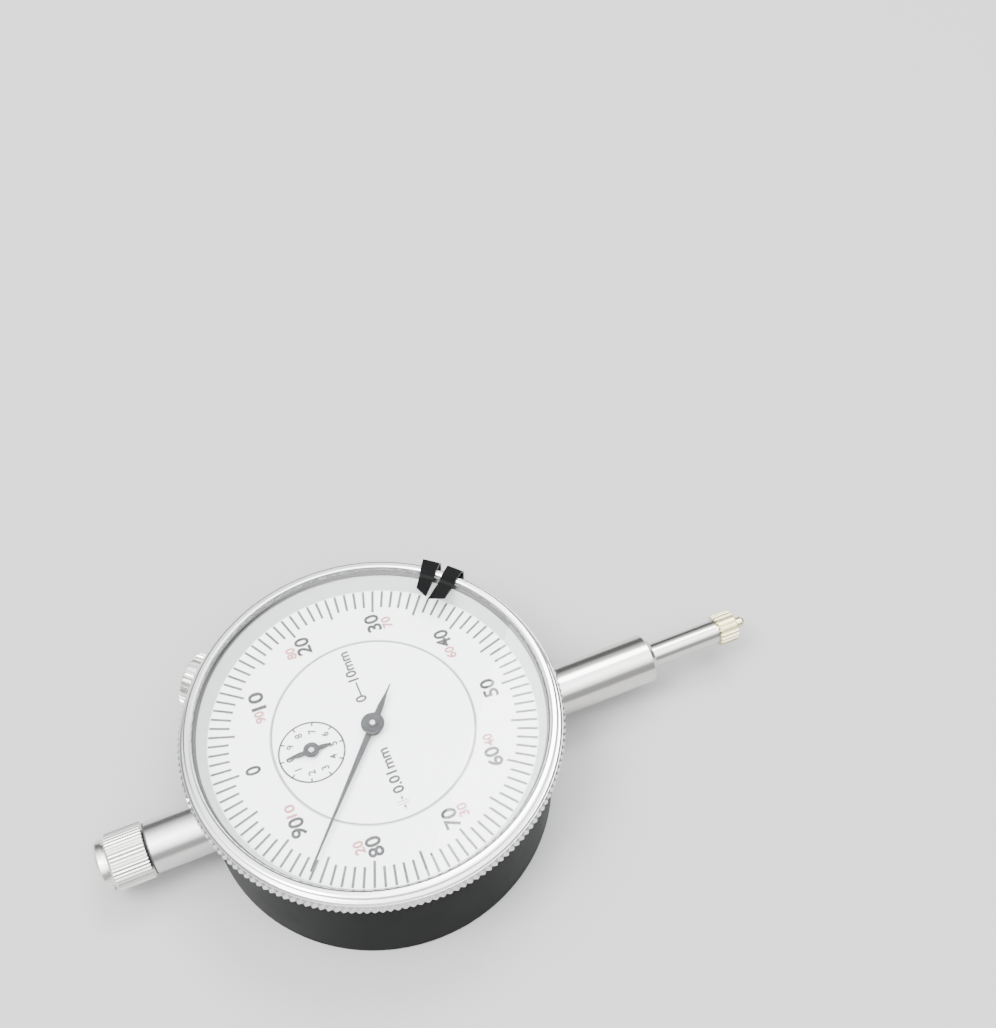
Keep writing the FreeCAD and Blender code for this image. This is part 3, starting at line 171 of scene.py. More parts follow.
class Effects:
    """The shader groups that several finishes share, each built once."""

    def __init__(self) -> None:
        """Build every group."""
        self.grain = self._grain()
        self.turning = self._turning()
        self.dust = self._dust()
        self.inside = self._inside()

    @staticmethod
    def _new_group(
        name: str, inputs: Sequence[tuple[str, str, object]], outputs: Sequence[tuple[str, str]]
    ) -> Graph:
        """Start a group with named sockets.

        Args:
            name: The group's name.
            inputs: Name, socket type and default of each input.
            outputs: Name and socket type of each output.

        Returns:
            The group's graph, with its input and output nodes added.
        """
        tree = bpy.data.node_groups.new(name, "ShaderNodeTree")
        for label, kind, default in inputs:
            socket = tree.interface.new_socket(label, in_out="INPUT", socket_type=kind)
            if default is not None:
                socket.default_value = default
        for label, kind in outputs:
            tree.interface.new_socket(label, in_out="OUTPUT", socket_type=kind)
        graph = Graph(tree)
        graph.add("NodeGroupInput", name="in")
        graph.add("NodeGroupOutput", name="out")
        return graph

    def _grain(self) -> bpy.types.NodeTree:
        """Fine grain of paint or plastic: a small height and an uneven roughness.

        Returns:
            The group's node tree.
        """
        graph = self._new_group(
            "fine_grain",
            [
                ("Vector", "NodeSocketVector", None),
                ("Scale", "NodeSocketFloat", 4000.0),
                ("Roughness", "NodeSocketFloat", 0.4),
                ("Variation", "NodeSocketFloat", 0.1),
            ],
            [("Roughness", "NodeSocketFloat"), ("Height", "NodeSocketFloat")],
        )
        given = graph.tree.nodes["in"].outputs
        out = graph.tree.nodes["out"].inputs
        fine = graph.add("ShaderNodeTexNoise")
        graph.join(given["Vector"], fine.inputs["Vector"])
        graph.join(given["Scale"], fine.inputs["Scale"])
        fine.inputs["Detail"].default_value = 2.0
        broad = graph.add("ShaderNodeTexNoise")
        graph.join(given["Vector"], broad.inputs["Vector"])
        graph.join(graph.math("MULTIPLY", given["Scale"], 0.03), broad.inputs["Scale"])
        swing = graph.math("MULTIPLY", graph.math("SUBTRACT", broad.outputs["Fac"], 0.5), given["Variation"])
        graph.join(graph.math("ADD", given["Roughness"], swing), out["Roughness"])
        graph.join(fine.outputs["Fac"], out["Height"])
        return graph.tree

    def _turning(self) -> bpy.types.NodeTree:
        """Fine rings left by turning or grinding about an axis that the given vector's Z follows.

        Returns:
            The group's node tree.
        """
        graph = self._new_group(
            "turning_marks",
            [
                ("Vector", "NodeSocketVector", None),
                ("Fineness", "NodeSocketFloat", 6000.0),
                ("Roughness", "NodeSocketFloat", 0.2),
                ("Variation", "NodeSocketFloat", 0.1),
            ],
            [("Roughness", "NodeSocketFloat"), ("Height", "NodeSocketFloat"), ("Shade", "NodeSocketFloat")],
        )
        given = graph.tree.nodes["in"].outputs
        out = graph.tree.nodes["out"].inputs
        split = graph.add("ShaderNodeSeparateXYZ")
        graph.join(given["Vector"], split.inputs["Vector"])
        across = graph.math("MULTIPLY", split.outputs["X"], split.outputs["X"])
        up = graph.math("MULTIPLY", split.outputs["Y"], split.outputs["Y"])
        radius = graph.math("SQRT", graph.math("ADD", across, up))
        rings = graph.add("ShaderNodeCombineXYZ")
        graph.join(radius, rings.inputs["X"])
        graph.join(split.outputs["Z"], rings.inputs["Y"])
        noise = graph.add("ShaderNodeTexNoise")
        graph.join(rings.outputs["Vector"], noise.inputs["Vector"])
        graph.join(given["Fineness"], noise.inputs["Scale"])
        noise.inputs["Detail"].default_value = 3.0
        swing = graph.math("MULTIPLY", graph.math("SUBTRACT", noise.outputs["Fac"], 0.5), given["Variation"])
        graph.join(graph.math("ADD", given["Roughness"], swing), out["Roughness"])
        graph.join(noise.outputs["Fac"], out["Height"])
        graph.join(graph.ramp(noise.outputs["Fac"], 0.3, 0.7, 0.0, 1.0), out["Shade"])
        return graph.tree

    def _dust(self) -> bpy.types.NodeTree:
        """Sparse soft marks from handling, as a mask.

        Returns:
            The group's node tree.
        """
        graph = self._new_group(
            "handling_marks",
            [
                ("Vector", "NodeSocketVector", None),
                ("Scale", "NodeSocketFloat", 300.0),
                ("Amount", "NodeSocketFloat", 0.3),
            ],
            [("Mask", "NodeSocketFloat")],
        )
        given = graph.tree.nodes["in"].outputs
        noise = graph.add("ShaderNodeTexNoise")
        graph.join(given["Vector"], noise.inputs["Vector"])
        graph.join(given["Scale"], noise.inputs["Scale"])
        noise.inputs["Detail"].default_value = 4.0
        spots = graph.ramp(noise.outputs["Fac"], 0.52, 0.75, 0.0, 1.0)
        graph.join(graph.math("MULTIPLY", spots, given["Amount"]), graph.tree.nodes["out"].inputs["Mask"])
        return graph.tree

    def _inside(self) -> bpy.types.NodeTree:
        """A mask of what lies inside a radius about Z and above a level.

        Returns:
            The group's node tree.
        """
        graph = self._new_group(
            "inside_radius",
            [
                ("Vector", "NodeSocketVector", None),
                ("Radius", "NodeSocketFloat", 0.01),
                ("Level", "NodeSocketFloat", 0.0),
            ],
            [("Mask", "NodeSocketFloat")],
        )
        given = graph.tree.nodes["in"].outputs
        split = graph.add("ShaderNodeSeparateXYZ")
        graph.join(given["Vector"], split.inputs["Vector"])
        across = graph.math("MULTIPLY", split.outputs["X"], split.outputs["X"])
        up = graph.math("MULTIPLY", split.outputs["Y"], split.outputs["Y"])
        radius = graph.math("SQRT", graph.math("ADD", across, up))
        within = graph.math("LESS_THAN", radius, given["Radius"])
        above = graph.math("GREATER_THAN", split.outputs["Z"], given["Level"])
        graph.join(graph.math("MULTIPLY", within, above), graph.tree.nodes["out"].inputs["Mask"])
        return graph.tree


# ---------------------------------------------------------------- finishes


class Axis(Enum):
    """The axis that a turned piece was turned about, as the rotation that brings it to Z."""

    DIAL = (0.0, 0.0, 0.0)
    SPINDLE = (math.pi / 2, 0.0, 0.0)


@dataclass(frozen=True)
class Metal:
    """A bare or plated metal with fine turning marks."""

    name: str
    color: Color
    roughness: float
    axis: Axis = Axis.DIAL
    fineness: float = 5000.0
    variation: float = 0.08
    relief: float = 0.05
    relief_height: float = 0.02 * MM
    darker: float = 0.88

    def build(self, effects: Effects) -> bpy.types.Material:
        """Make the material.

        Args:
            effects: The shared shader groups.

        Returns:
            The finished material.
        """
        material = bpy.data.materials.new(self.name)
        material.use_nodes = True
        graph = Graph(material.node_tree)
        shader = material.node_tree.nodes["Principled BSDF"]
        shader.inputs["Metallic"].default_value = 1.0
        place = graph.add("ShaderNodeTexCoord")
        turn = graph.add("ShaderNodeMapping")
        turn.inputs["Rotation"].default_value = self.axis.value
        graph.join(place.outputs["Object"], turn.inputs["Vector"])
        marks = graph.add("ShaderNodeGroup", node_tree=effects.turning)
        graph.join(turn.outputs["Vector"], marks.inputs["Vector"])
        marks.inputs["Fineness"].default_value = self.fineness
        marks.inputs["Roughness"].default_value = self.roughness
        marks.inputs["Variation"].default_value = self.variation
        bright = (*self.color, 1.0)
        dull = tuple(part * self.darker for part in self.color) + (1.0,)
        graph.join(graph.mix(marks.outputs["Shade"], dull, bright), shader.inputs["Base Color"])
        graph.join(marks.outputs["Roughness"], shader.inputs["Roughness"])
        bump = graph.add("ShaderNodeBump")
        bump.inputs["Strength"].default_value = self.relief
        bump.inputs["Distance"].default_value = self.relief_height
        graph.join(marks.outputs["Height"], bump.inputs["Height"])
        graph.join(bump.outputs["Normal"], shader.inputs["Normal"])
        return material


@dataclass(frozen=True)
class InnerPaintedMetal(Metal):
    """A plated ring about Z whose inner cone, above a level, is painted."""

    paint: Color = (0.42, 0.44, 0.43)
    paint_roughness: float = 0.5
    paint_radius: float = 0.02592
    paint_level: float = 0.0181

    def build(self, effects: Effects) -> bpy.types.Material:
        """Make the material.

        Args:
            effects: The shared shader groups.

        Returns:
            The finished material.
        """
        material = super().build(effects)
        graph = Graph(material.node_tree)
        shader = material.node_tree.nodes["Principled BSDF"]
        plated = shader.inputs["Base Color"].links[0].from_socket
        worn = shader.inputs["Roughness"].links[0].from_socket
        place = graph.add("ShaderNodeTexCoord")
        inside = graph.add("ShaderNodeGroup", node_tree=effects.inside)
        graph.join(place.outputs["Object"], inside.inputs["Vector"])
        inside.inputs["Radius"].default_value = self.paint_radius
        inside.inputs["Level"].default_value = self.paint_level
        mask = inside.outputs["Mask"]
        graph.join(graph.mix(mask, plated, (*self.paint, 1.0)), shader.inputs["Base Color"])
        graph.join(graph.math("SUBTRACT", 1.0, mask), shader.inputs["Metallic"])
        kept = graph.math("MULTIPLY", worn, graph.math("SUBTRACT", 1.0, mask))
        added = graph.math("MULTIPLY", mask, self.paint_roughness)
        graph.join(graph.math("ADD", kept, added), shader.inputs["Roughness"])
        return material


@dataclass(frozen=True)
class Paint:
    """Paint, enamel, print, rubber or plastic with a fine grain."""

    name: str
    color: Color
    roughness: float
    coat: float = 0.0
    coat_roughness: float = 0.1
    specular: float = 0.5
    grain: float = 4000.0
    relief: float = 0.03
    relief_height: float = 0.03 * MM
    marks: float = 0.1
    fade: float = 0.9
    fade_lift: float = 0.012

    def build(self, effects: Effects) -> bpy.types.Material:
        """Make the material.

        Args:
            effects: The shared shader groups.

        Returns:
            The finished material.
        """
        material = bpy.data.materials.new(self.name)
        material.use_nodes = True
        graph = Graph(material.node_tree)
        shader = material.node_tree.nodes["Principled BSDF"]
        shader.inputs["Specular IOR Level"].default_value = self.specular
        shader.inputs["Coat Weight"].default_value = self.coat
        shader.inputs["Coat Roughness"].default_value = self.coat_roughness
        place = graph.add("ShaderNodeTexCoord")
        grain = graph.add("ShaderNodeGroup", node_tree=effects.grain)
        graph.join(place.outputs["Object"], grain.inputs["Vector"])
        grain.inputs["Scale"].default_value = self.grain
        grain.inputs["Roughness"].default_value = self.roughness
        dust = graph.add("ShaderNodeGroup", node_tree=effects.dust)
        graph.join(place.outputs["Object"], dust.inputs["Vector"])
        dust.inputs["Amount"].default_value = self.marks
        pale = tuple(part * self.fade + self.fade_lift for part in self.color) + (1.0,)
        graph.join(graph.mix(dust.outputs["Mask"], (*self.color, 1.0), pale), shader.inputs["Base Color"])
        graph.join(grain.outputs["Roughness"], shader.inputs["Roughness"])
        bump = graph.add("ShaderNodeBump")
        bump.inputs["Strength"].default_value = self.relief
        bump.inputs["Distance"].default_value = self.relief_height
        graph.join(grain.outputs["Height"], bump.inputs["Height"])
        graph.join(bump.outputs["Normal"], shader.inputs["Normal"])
        return material


@dataclass(frozen=True)
class Crystal:
    """The clear crystal, which lets the light through to the dial."""

    name: str = "clear_crystal"
    tint: Color = (0.985, 0.992, 0.995)
    light_let_through: float = 0.96
    ior: float = 1.33
    marks_roughness: float = 0.02

    def build(self, effects: Effects) -> bpy.types.Material:
        """Make the material.

        Args:
            effects: The shared shader groups.

        Returns:
            The finished material.
        """
        material = bpy.data.materials.new(self.name)
        material.use_nodes = True
        graph = Graph(material.node_tree)
        shader = material.node_tree.nodes["Principled BSDF"]
        shader.inputs["Transmission Weight"].default_value = 1.0
        shader.inputs["IOR"].default_value = self.ior
        place = graph.add("ShaderNodeTexCoord")
        dust = graph.add("ShaderNodeGroup", node_tree=effects.dust)
        graph.join(place.outputs["Object"], dust.inputs["Vector"])
        dust.inputs["Amount"].default_value = 1.0
        marked = graph.ramp(dust.outputs["Mask"], 0.0, 1.0, 0.0, self.marks_roughness)
        graph.join(marked, shader.inputs["Roughness"])
        tinted = graph.mix(dust.outputs["Mask"], (1.0, 1.0, 1.0, 1.0), (*self.tint, 1.0))
        graph.join(tinted, shader.inputs["Base Color"])
        path = graph.add("ShaderNodeLightPath")
        blocked = graph.math("MULTIPLY", path.outputs["Is Shadow Ray"], self.light_let_through)
        graph.join(graph.math("SUBTRACT", 1.0, blocked), shader.inputs["Alpha"])
        return material


class Finish(Enum):
    """Every finish of the indicator."""

    CASE = Paint("case_black", (0.002, 0.002, 0.0022), 0.34, specular=0.02, relief=0.05, marks=0.03)
    COVER = Paint("cover_black", (0.005, 0.005, 0.0055), 0.4, specular=0.1, relief=0.08, marks=0.03)
    BEZEL = InnerPaintedMetal("bezel_chrome", (0.86, 0.86, 0.855), 0.2, relief=0.03)
    GROUND = Metal("ground_steel", (0.66, 0.645, 0.62), 0.2, Axis.SPINDLE, 7000.0, 0.1, 0.06)
    SLEEVE = Metal("sleeve_steel", (0.68, 0.67, 0.66), 0.24, Axis.SPINDLE, 7000.0, 0.1, 0.06)
    CAP = Metal("cap_nickel", (0.84, 0.83, 0.8), 0.24, Axis.SPINDLE, 4000.0, 0.08, 0.04)
    CONTACT = Metal("contact_nickel", (0.8, 0.75, 0.5), 0.26, Axis.SPINDLE, 4000.0, 0.08, 0.04)
    KNOB = Metal("knob_nickel", (0.8, 0.79, 0.76), 0.24)
    BRASS = Metal("brass", (0.78, 0.58, 0.28), 0.28)
    STEEL = Metal("arbor_steel", (0.6, 0.6, 0.61), 0.24)
    SPRING = Metal("spring_blue_steel", (0.36, 0.38, 0.46), 0.26)
    SCREW = Metal("screw_steel", (0.6, 0.6, 0.61), 0.3)
    RUBBER = Paint("washer_grey", (0.06, 0.06, 0.061), 0.5)
    SEAL = Paint("seal_pale", (0.5, 0.5, 0.49), 0.6)
    DIAL = Paint("dial_white", (0.83, 0.845, 0.85), 0.42, coat=0.15, coat_roughness=0.3, marks=0.04)
    PRINT = Paint("print_black", (0.03, 0.03, 0.032), 0.7, specular=0.2)
    DIVISION = Paint("print_dark_grey", (0.075, 0.078, 0.08), 0.7, specular=0.2)
    LINE = Paint("print_grey", (0.2, 0.21, 0.22), 0.6)
    RED = Paint("print_red", (0.36, 0.11, 0.12), 0.6)
    POINTER = Paint("pointer_grey", (0.018, 0.02, 0.021), 0.4, specular=0.25)
    MARKER = Paint("marker_black", (0.002, 0.002, 0.0022), 0.12, specular=0.12, relief=0.02, marks=0.03)
    GLASS = Crystal()


class Wardrobe:
    """The finished materials, each made the first time that it is wanted."""

    def __init__(self) -> None:
        """Make the shared shader groups."""
        self.effects = Effects()
        self.made: dict[Finish, bpy.types.Material] = {}

    def get(self, finish: Finish) -> bpy.types.Material:
        """Return the material of a finish.

        Args:
            finish: The finish that is wanted.

        Returns:
            Its material.
        """
        if finish not in self.made:
            self.made[finish] = finish.value.build(self.effects)
        return self.made[finish]

    def dress(self, finish: Finish, *nodes: str) -> None:
        """Give CAD nodes a finish.

        Args:
            finish: The finish that the nodes take.
            *nodes: Names of the nodes.
        """
        for name in nodes:
            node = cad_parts[name]
            for slot in node.material_slots:
                slot.material = self.get(finish)


# ---------------------------------------------------------------- printed pieces


@dataclass
class Print:
    """A flat printed piece that gathers shapes before it becomes one mesh."""

    name: str
    height: float
    boldness: float = 0.03
    curve_steps: int = 4
    points: list[Vector] = field(default_factory=list)
    faces: list[list[int]] = field(default_factory=list)

    def polygon(self, corners: Sequence[Point]) -> None:
        """Add one flat face.

        Args:
            corners: Its corners in the dial's plane, in metres.
        """
        start = len(self.points)
        self.points += [Vector((x, y, self.height)) for x, y in corners]
        self.faces.append(list(range(start, start + len(corners))))

    def tick(
        self, angle: float, inner: float, outer: float, width: float, centre: Point = (0.0, 0.0)
    ) -> None:
        """Add one radial tick.

        Args:
            angle: Direction of the tick, in radians from +X.
            inner: Radius where it starts.
            outer: Radius where it ends.
            width: Its width.
            centre: The point that it points at.
        """
        along = Vector((math.cos(angle), math.sin(angle)))
        across = Vector((-along.y, along.x)) * (width / 2)
        middle = Vector(centre)
        corners = [
            middle + along * inner - across,
            middle + along * outer - across,
            middle + along * outer + across,
            middle + along * inner + across,
        ]
        self.polygon([tuple(corner) for corner in corners])

    def circle(self, radius: float, width: float, centre: Point = (0.0, 0.0), steps: int = 180) -> None:
        """Add a circle line.

        Args:
            radius: Its middle radius.
            width: The width of the line.
            centre: The circle's centre.
            steps: How many flat pieces it is made of.
        """
        for index in range(steps):
            corners = []
            for turn, reach in ((index, -1), (index, 1), (index + 1, 1), (index + 1, -1)):
                angle = 2 * math.pi * turn / steps
                distance = radius + reach * width / 2
                x = centre[0] + distance * math.cos(angle)
                y = centre[1] + distance * math.sin(angle)
                corners.append((x, y))
            self.polygon(corners)

    def text(self, words: str, centre: Point, height: float, width: float | None = None) -> None:
        """Add a line of figures.

        Args:
            words: The figures.
            centre: The middle of the line.
            height: The height of its figures.
            width: The width of the whole line; None keeps the letters' own proportions.
        """
        curve = bpy.data.curves.new("figures", "FONT")
        curve.body = words
        curve.offset = self.boldness
        curve.resolution_u = self.curve_steps
        carrier = bpy.data.objects.new("figures", curve)
        bpy.context.scene.collection.objects.link(carrier)
        graph = bpy.context.evaluated_depsgraph_get()
        mesh = bpy.data.meshes.new_from_object(carrier.evaluated_get(graph))
        bpy.data.objects.remove(carrier)
        bpy.data.curves.remove(curve)
        across = [vertex.co.x for vertex in mesh.vertices]
        up = [vertex.co.y for vertex in mesh.vertices]
        tall = height / (max(up) - min(up))
        wide = tall if width is None else width / (max(across) - min(across))
        middle = ((max(across) + min(across)) / 2, (max(up) + min(up)) / 2)
        start = len(self.points)
        for vertex in mesh.vertices:
            x = centre[0] + (vertex.co.x - middle[0]) * wide
            y = centre[1] + (vertex.co.y - middle[1]) * tall
            self.points.append(Vector((x, y, self.height)))
        self.faces += [[start + index for index in face.vertices] for face in mesh.polygons]
        bpy.data.meshes.remove(mesh)

    def make(self, body: str, material: bpy.types.Material, turn: float = 0.0) -> None:
        """Make the printed piece and fix it to a body.

        Args:
            body: The CAD body that it rides on.
            material: Its finish.
            turn: Turn about the dial's axis, in degrees.
        """
        spin = Matrix.Rotation(math.radians(turn), 4, "Z")
        mesh = bpy.data.meshes.new(self.name)
        mesh.from_pydata([spin @ point for point in self.points], [], self.faces)
        mesh.materials.append(material)
        piece = bpy.data.objects.new(self.name, mesh)
        bpy.context.scene.collection.objects.link(piece)
        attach(piece, body)


@dataclass
class DialFace:
    """The printed dial: the scale on the bezel's ring and the fixed middle with its turn counter.

    The scale, its numerals and the legends are shares of unit, the radius where the long divisions
    start. The lines and the counter are in metres.
    """

    wardrobe: Wardrobe
    setting: float = -1.5
    lift: float = 0.012 * MM
    unit: float = 20.616 * MM
    divisions: int = 100
    tens: int = 10
    short_start: float = 1.043
    division_end: float = 1.193
    tick_width: float = 0.4 * MM
    numeral_reach: float = 0.9
    numeral_height: float = 0.115
    numeral_width: float = 0.155
    zero_width: float = 0.07
    reverse_height: float = 0.076
    reverse_width: float = 0.1
    reverse_near: Point = (0.394, 0.742)
    reverse_far: Point = (0.826, 0.38)
    legend_height: float = 0.085
    range_place: float = 0.465
    range_width: float = 0.455
    value_place: float = -0.36
    value_width: float = 0.37
    arrows_place: float = -0.62
    # width of the dark line of painted shade at the crystal's edge
    joint_width: float = 0.2 * MM
    edge_line_width: float = 0.3 * MM
    edge_line_inset: float = 0.18 * MM
    counter_radius: float = 4.87 * MM
    counter_line_width: float = 0.28 * MM
    counter_line_steps: int = 96
    counter_tick: float = 0.62 * MM
    counter_tick_width: float = 0.26 * MM
    counter_figure_inset: float = 1.5 * MM
    counter_figure_height: float = 1.15 * MM
    level: float = field(init=False)
    counter: Point = field(init=False)

    def build(self) -> None:
        """Make every printed piece."""
        self.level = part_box("dial_ring")[1].z + self.lift
        low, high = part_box("takeup_arbor")
        self.counter = (0.0, (low.y + high.y) / 2)
        self._ticks()
        self._numerals()
        self._reverse_numerals()
        self._edge_line()
        # a dark line of painted shade and painted reflection at the crystal's edge
        self._joint_line()
        self._counter()
        self._legends()

    def _ticks(self) -> None:
        """Print the divisions of the scale, longer at every fifth."""
        piece = Print("scale_divisions", self.level)
        for index in range(self.divisions):
            angle = math.pi / 2 - 2 * math.pi * index / self.divisions
            start = 1.0 if index % 5 == 0 else self.short_start
            piece.tick(angle, start * self.unit, self.division_end * self.unit, self.tick_width)
        piece.make("bezel_body", self.wardrobe.get(Finish.DIVISION), self.setting)

    def _numerals(self) -> None:
        """Print the black numerals, upright in the dial's frame, at every tenth division."""
        piece = Print("scale_numerals", self.level)
        reach = self.numeral_reach * self.unit
        for index in range(self.tens):
            angle = math.pi / 2 - 2 * math.pi * index / self.tens
            centre = (reach * math.cos(angle), reach * math.sin(angle))
            width = self.numeral_width if index else self.zero_width
            piece.text(str(index * 10), centre, self.numeral_height * self.unit, width * self.unit)
        piece.make("bezel_body", self.wardrobe.get(Finish.PRINT), self.setting)

    def _reverse_numerals(self) -> None:
        """Print the small red numerals that count the other way, alike in all four quarters."""
        quarters = ((1, 1), (1, -1), (-1, -1), (-1, 1))
        rows = ((self.reverse_near, (90, 60, 40, 10)), (self.reverse_far, (80, 70, 30, 20)))
        height = self.reverse_height * self.unit
        width = self.reverse_width * self.unit
        piece = Print("reverse_numerals", self.level)
        for (across, up), numbers in rows:
            for number, (right, above) in zip(numbers, quarters):
                centre = (right * across * self.unit, above * up * self.unit)
                piece.text(str(number), centre, height, width)
        piece.make("bezel_body", self.wardrobe.get(Finish.RED), self.setting)

    def _edge_line(self) -> None:
        """Print the grey circle line at the edge of the fixed middle."""
        piece = Print("middle_edge_line", self.level)
        piece.circle(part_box("dial_centre")[1].x - self.edge_line_inset, self.edge_line_width)
        piece.make("case", self.wardrobe.get(Finish.LINE))

    def _joint_line(self) -> None:
        """Draw a dark line of painted shade and painted reflection round the crystal's edge, in the gap
        where it meets the bezel.
        """
        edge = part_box("crystal")[1]
        piece = Print("crystal_edge_painted_shade", edge.z + self.lift)
        piece.circle(edge.x - self.joint_width / 2, self.joint_width)
        # the dark grey print colour is painted shade: it stands in for the shadow and dark reflection in the
        # gap
        piece.make("bezel_body", self.wardrobe.get(Finish.DIVISION))

    def _counter(self) -> None:
        """Print the turn counter's circle, ticks and figures, which run the other way round."""
        piece = Print("counter_scale", self.level)
        piece.circle(self.counter_radius, self.counter_line_width, self.counter, self.counter_line_steps)
        start = self.counter_radius - self.counter_tick
        reach = self.counter_radius - self.counter_figure_inset
        for index in range(self.tens):
            angle = math.pi / 2 + 2 * math.pi * index / self.tens
            piece.tick(angle, start, self.counter_radius, self.counter_tick_width, self.counter)
            centre = (reach * math.cos(angle), self.counter[1] + reach * math.sin(angle))
            piece.text(str(index), centre, self.counter_figure_height)
        piece.make("case", self.wardrobe.get(Finish.PRINT))

    def _legends(self) -> None:
        """Print the range and the value of one division, on either side of the pointer's hub."""
        piece = Print("range_and_division", self.level)
        height = self.legend_height * self.unit
        for words, place, width in (
            ("0—10mm", self.range_place, self.range_width),
            ("0.01mm", self.value_place, self.value_width),
        ):
            piece.text(words, (place * self.unit, 0.0), height, width * self.unit)
        self._arrows(piece, self.arrows_place * self.unit, height)
        piece.make("case", self.wardrobe.get(Finish.PRINT))

    def _arrows(self, piece: Print, middle: float, height: float) -> None:
        """Draw two arrows that point at each other across two strokes.

        Args:
            piece: The print that they join.
            middle: Where they meet, along X.
            height: The height of the strokes.
        """
        half_line = 0.05 * MM
        half_gap = 0.22 * MM
        tip_gap = 0.12 * MM
        head_length = 0.5 * MM
        head_half = 0.26 * MM
        tail_length = 0.45 * MM
        for side in (-1, 1):
            stroke = middle + side * half_gap
            piece.polygon([
                (stroke - half_line, -height / 2), (stroke + half_line, -height / 2),
                (stroke + half_line, height / 2), (stroke - half_line, height / 2),
            ])
            tip = stroke + side * tip_gap
            base = tip + side * head_length
            end = base + side * tail_length
            piece.polygon([(tip, 0.0), (base, -head_half), (base, head_half)])
            piece.polygon([
                (base, -half_line), (end, -half_line), (end, half_line), (base, half_line),
            ])


# ---------------------------------------------------------------- the indicator's own pieces


@dataclass
class CaseShell:
    """The black case with its cover, stem and upper sleeve."""

    wardrobe: Wardrobe

    def build(self) -> None:
        """Dress the case's nodes."""
        self.wardrobe.dress(Finish.CASE, "case_body")
        self.wardrobe.dress(Finish.COVER, "back_cover")
        self.wardrobe.dress(Finish.SCREW, "back_cover_screws")
        self.wardrobe.dress(Finish.GROUND, "stem")
        self.wardrobe.dress(Finish.SLEEVE, "upper_sleeve")
        self.wardrobe.dress(Finish.BRASS, "stem_bush", "upper_bush")


@dataclass
class SpindleSet:
    """The spindle with its contact point, lifting cap, washer and guide pin."""

    wardrobe: Wardrobe

    def build(self) -> None:
        """Dress the spindle's nodes."""
        self.wardrobe.dress(Finish.GROUND, "spindle")
        self.wardrobe.dress(Finish.CONTACT, "contact_point")
        self.wardrobe.dress(Finish.CAP, "lifting_cap")
        self.wardrobe.dress(Finish.RUBBER, "cap_washer")
        self.wardrobe.dress(Finish.STEEL, "guide_pin")


@dataclass
class Movement:
    """Plates, gears, arbors and springs inside the case."""

    wardrobe: Wardrobe

    def build(self) -> None:
        """Dress the movement's nodes."""
        self.wardrobe.dress(
            Finish.BRASS, "lower_plate", "upper_plate", "plate_pillars", "pinion_bridge", "centre_bushes",
            "drive_bushes", "takeup_bushes", "drive_gear", "takeup_gear", "hairspring_collet",
            "hairspring_stud", "dial_feet",
        )
        self.wardrobe.dress(
            Finish.STEEL, "rack_pinion", "centre_pinion", "takeup_arbor", "guide_rail", "spring_anchor"
        )
        self.wardrobe.dress(Finish.SCREW, "plate_screws", "pillar_screws", "bridge_screws")
        self.wardrobe.dress(Finish.SPRING, "return_spring", "hairspring")


@dataclass
class BezelSet:
    """The bezel with its crystal, seal, dial ring and rings, and the two tolerance markers."""

    wardrobe: Wardrobe

    def build(self) -> None:
        """Dress the bezel's nodes."""
        self.wardrobe.dress(Finish.BEZEL, "bezel")
        self.wardrobe.dress(Finish.GLASS, "crystal")
        self.wardrobe.dress(Finish.SEAL, "crystal_seal")
        self.wardrobe.dress(Finish.DIAL, "dial_ring", "dial_centre")
        self.wardrobe.dress(Finish.STEEL, "dial_retaining_ring", "bezel_snap_ring")
        self.wardrobe.dress(Finish.MARKER, "limit_marker_left", "limit_marker_right")


@dataclass
class Pointers:
    """The long pointer and the turn counter's pointer, with their bosses."""

    wardrobe: Wardrobe

    def build(self) -> None:
        """Dress the pointers' nodes."""
        self.wardrobe.dress(
            Finish.POINTER, "main_pointer", "small_pointer", "pointer_boss", "small_pointer_boss"
        )


@dataclass
class BezelLock:
    """The knob that locks the bezel, its screw, bush and brake shoe."""

    wardrobe: Wardrobe

    def build(self) -> None:
        """Dress the lock's nodes."""
        self.wardrobe.dress(Finish.KNOB, "lock_knob")
        self.wardrobe.dress(Finish.STEEL, "lock_screw")
        self.wardrobe.dress(Finish.BRASS, "lock_bush", "lock_shoe")


# ---------------------------------------------------------------- studio


@dataclass(frozen=True)
class Softbox:
    """A large soft lamp."""

    name: str
    place: tuple[float, float, float]
    size: float
    power: float

    def build(self, target: Vector) -> None:
        """Hang the lamp and aim it.

        Args:
            target: The point that it faces.
        """
        lamp = bpy.data.lights.new(self.name, "AREA")
        lamp.shape = "SQUARE"
        lamp.size = self.size
        lamp.energy = self.power
        holder = bpy.data.objects.new(self.name, lamp)
        holder.location = self.place
        holder.rotation_euler = (target - Vector(self.place)).to_track_quat("-Z", "Y").to_euler()
        bpy.context.scene.collection.objects.link(holder)


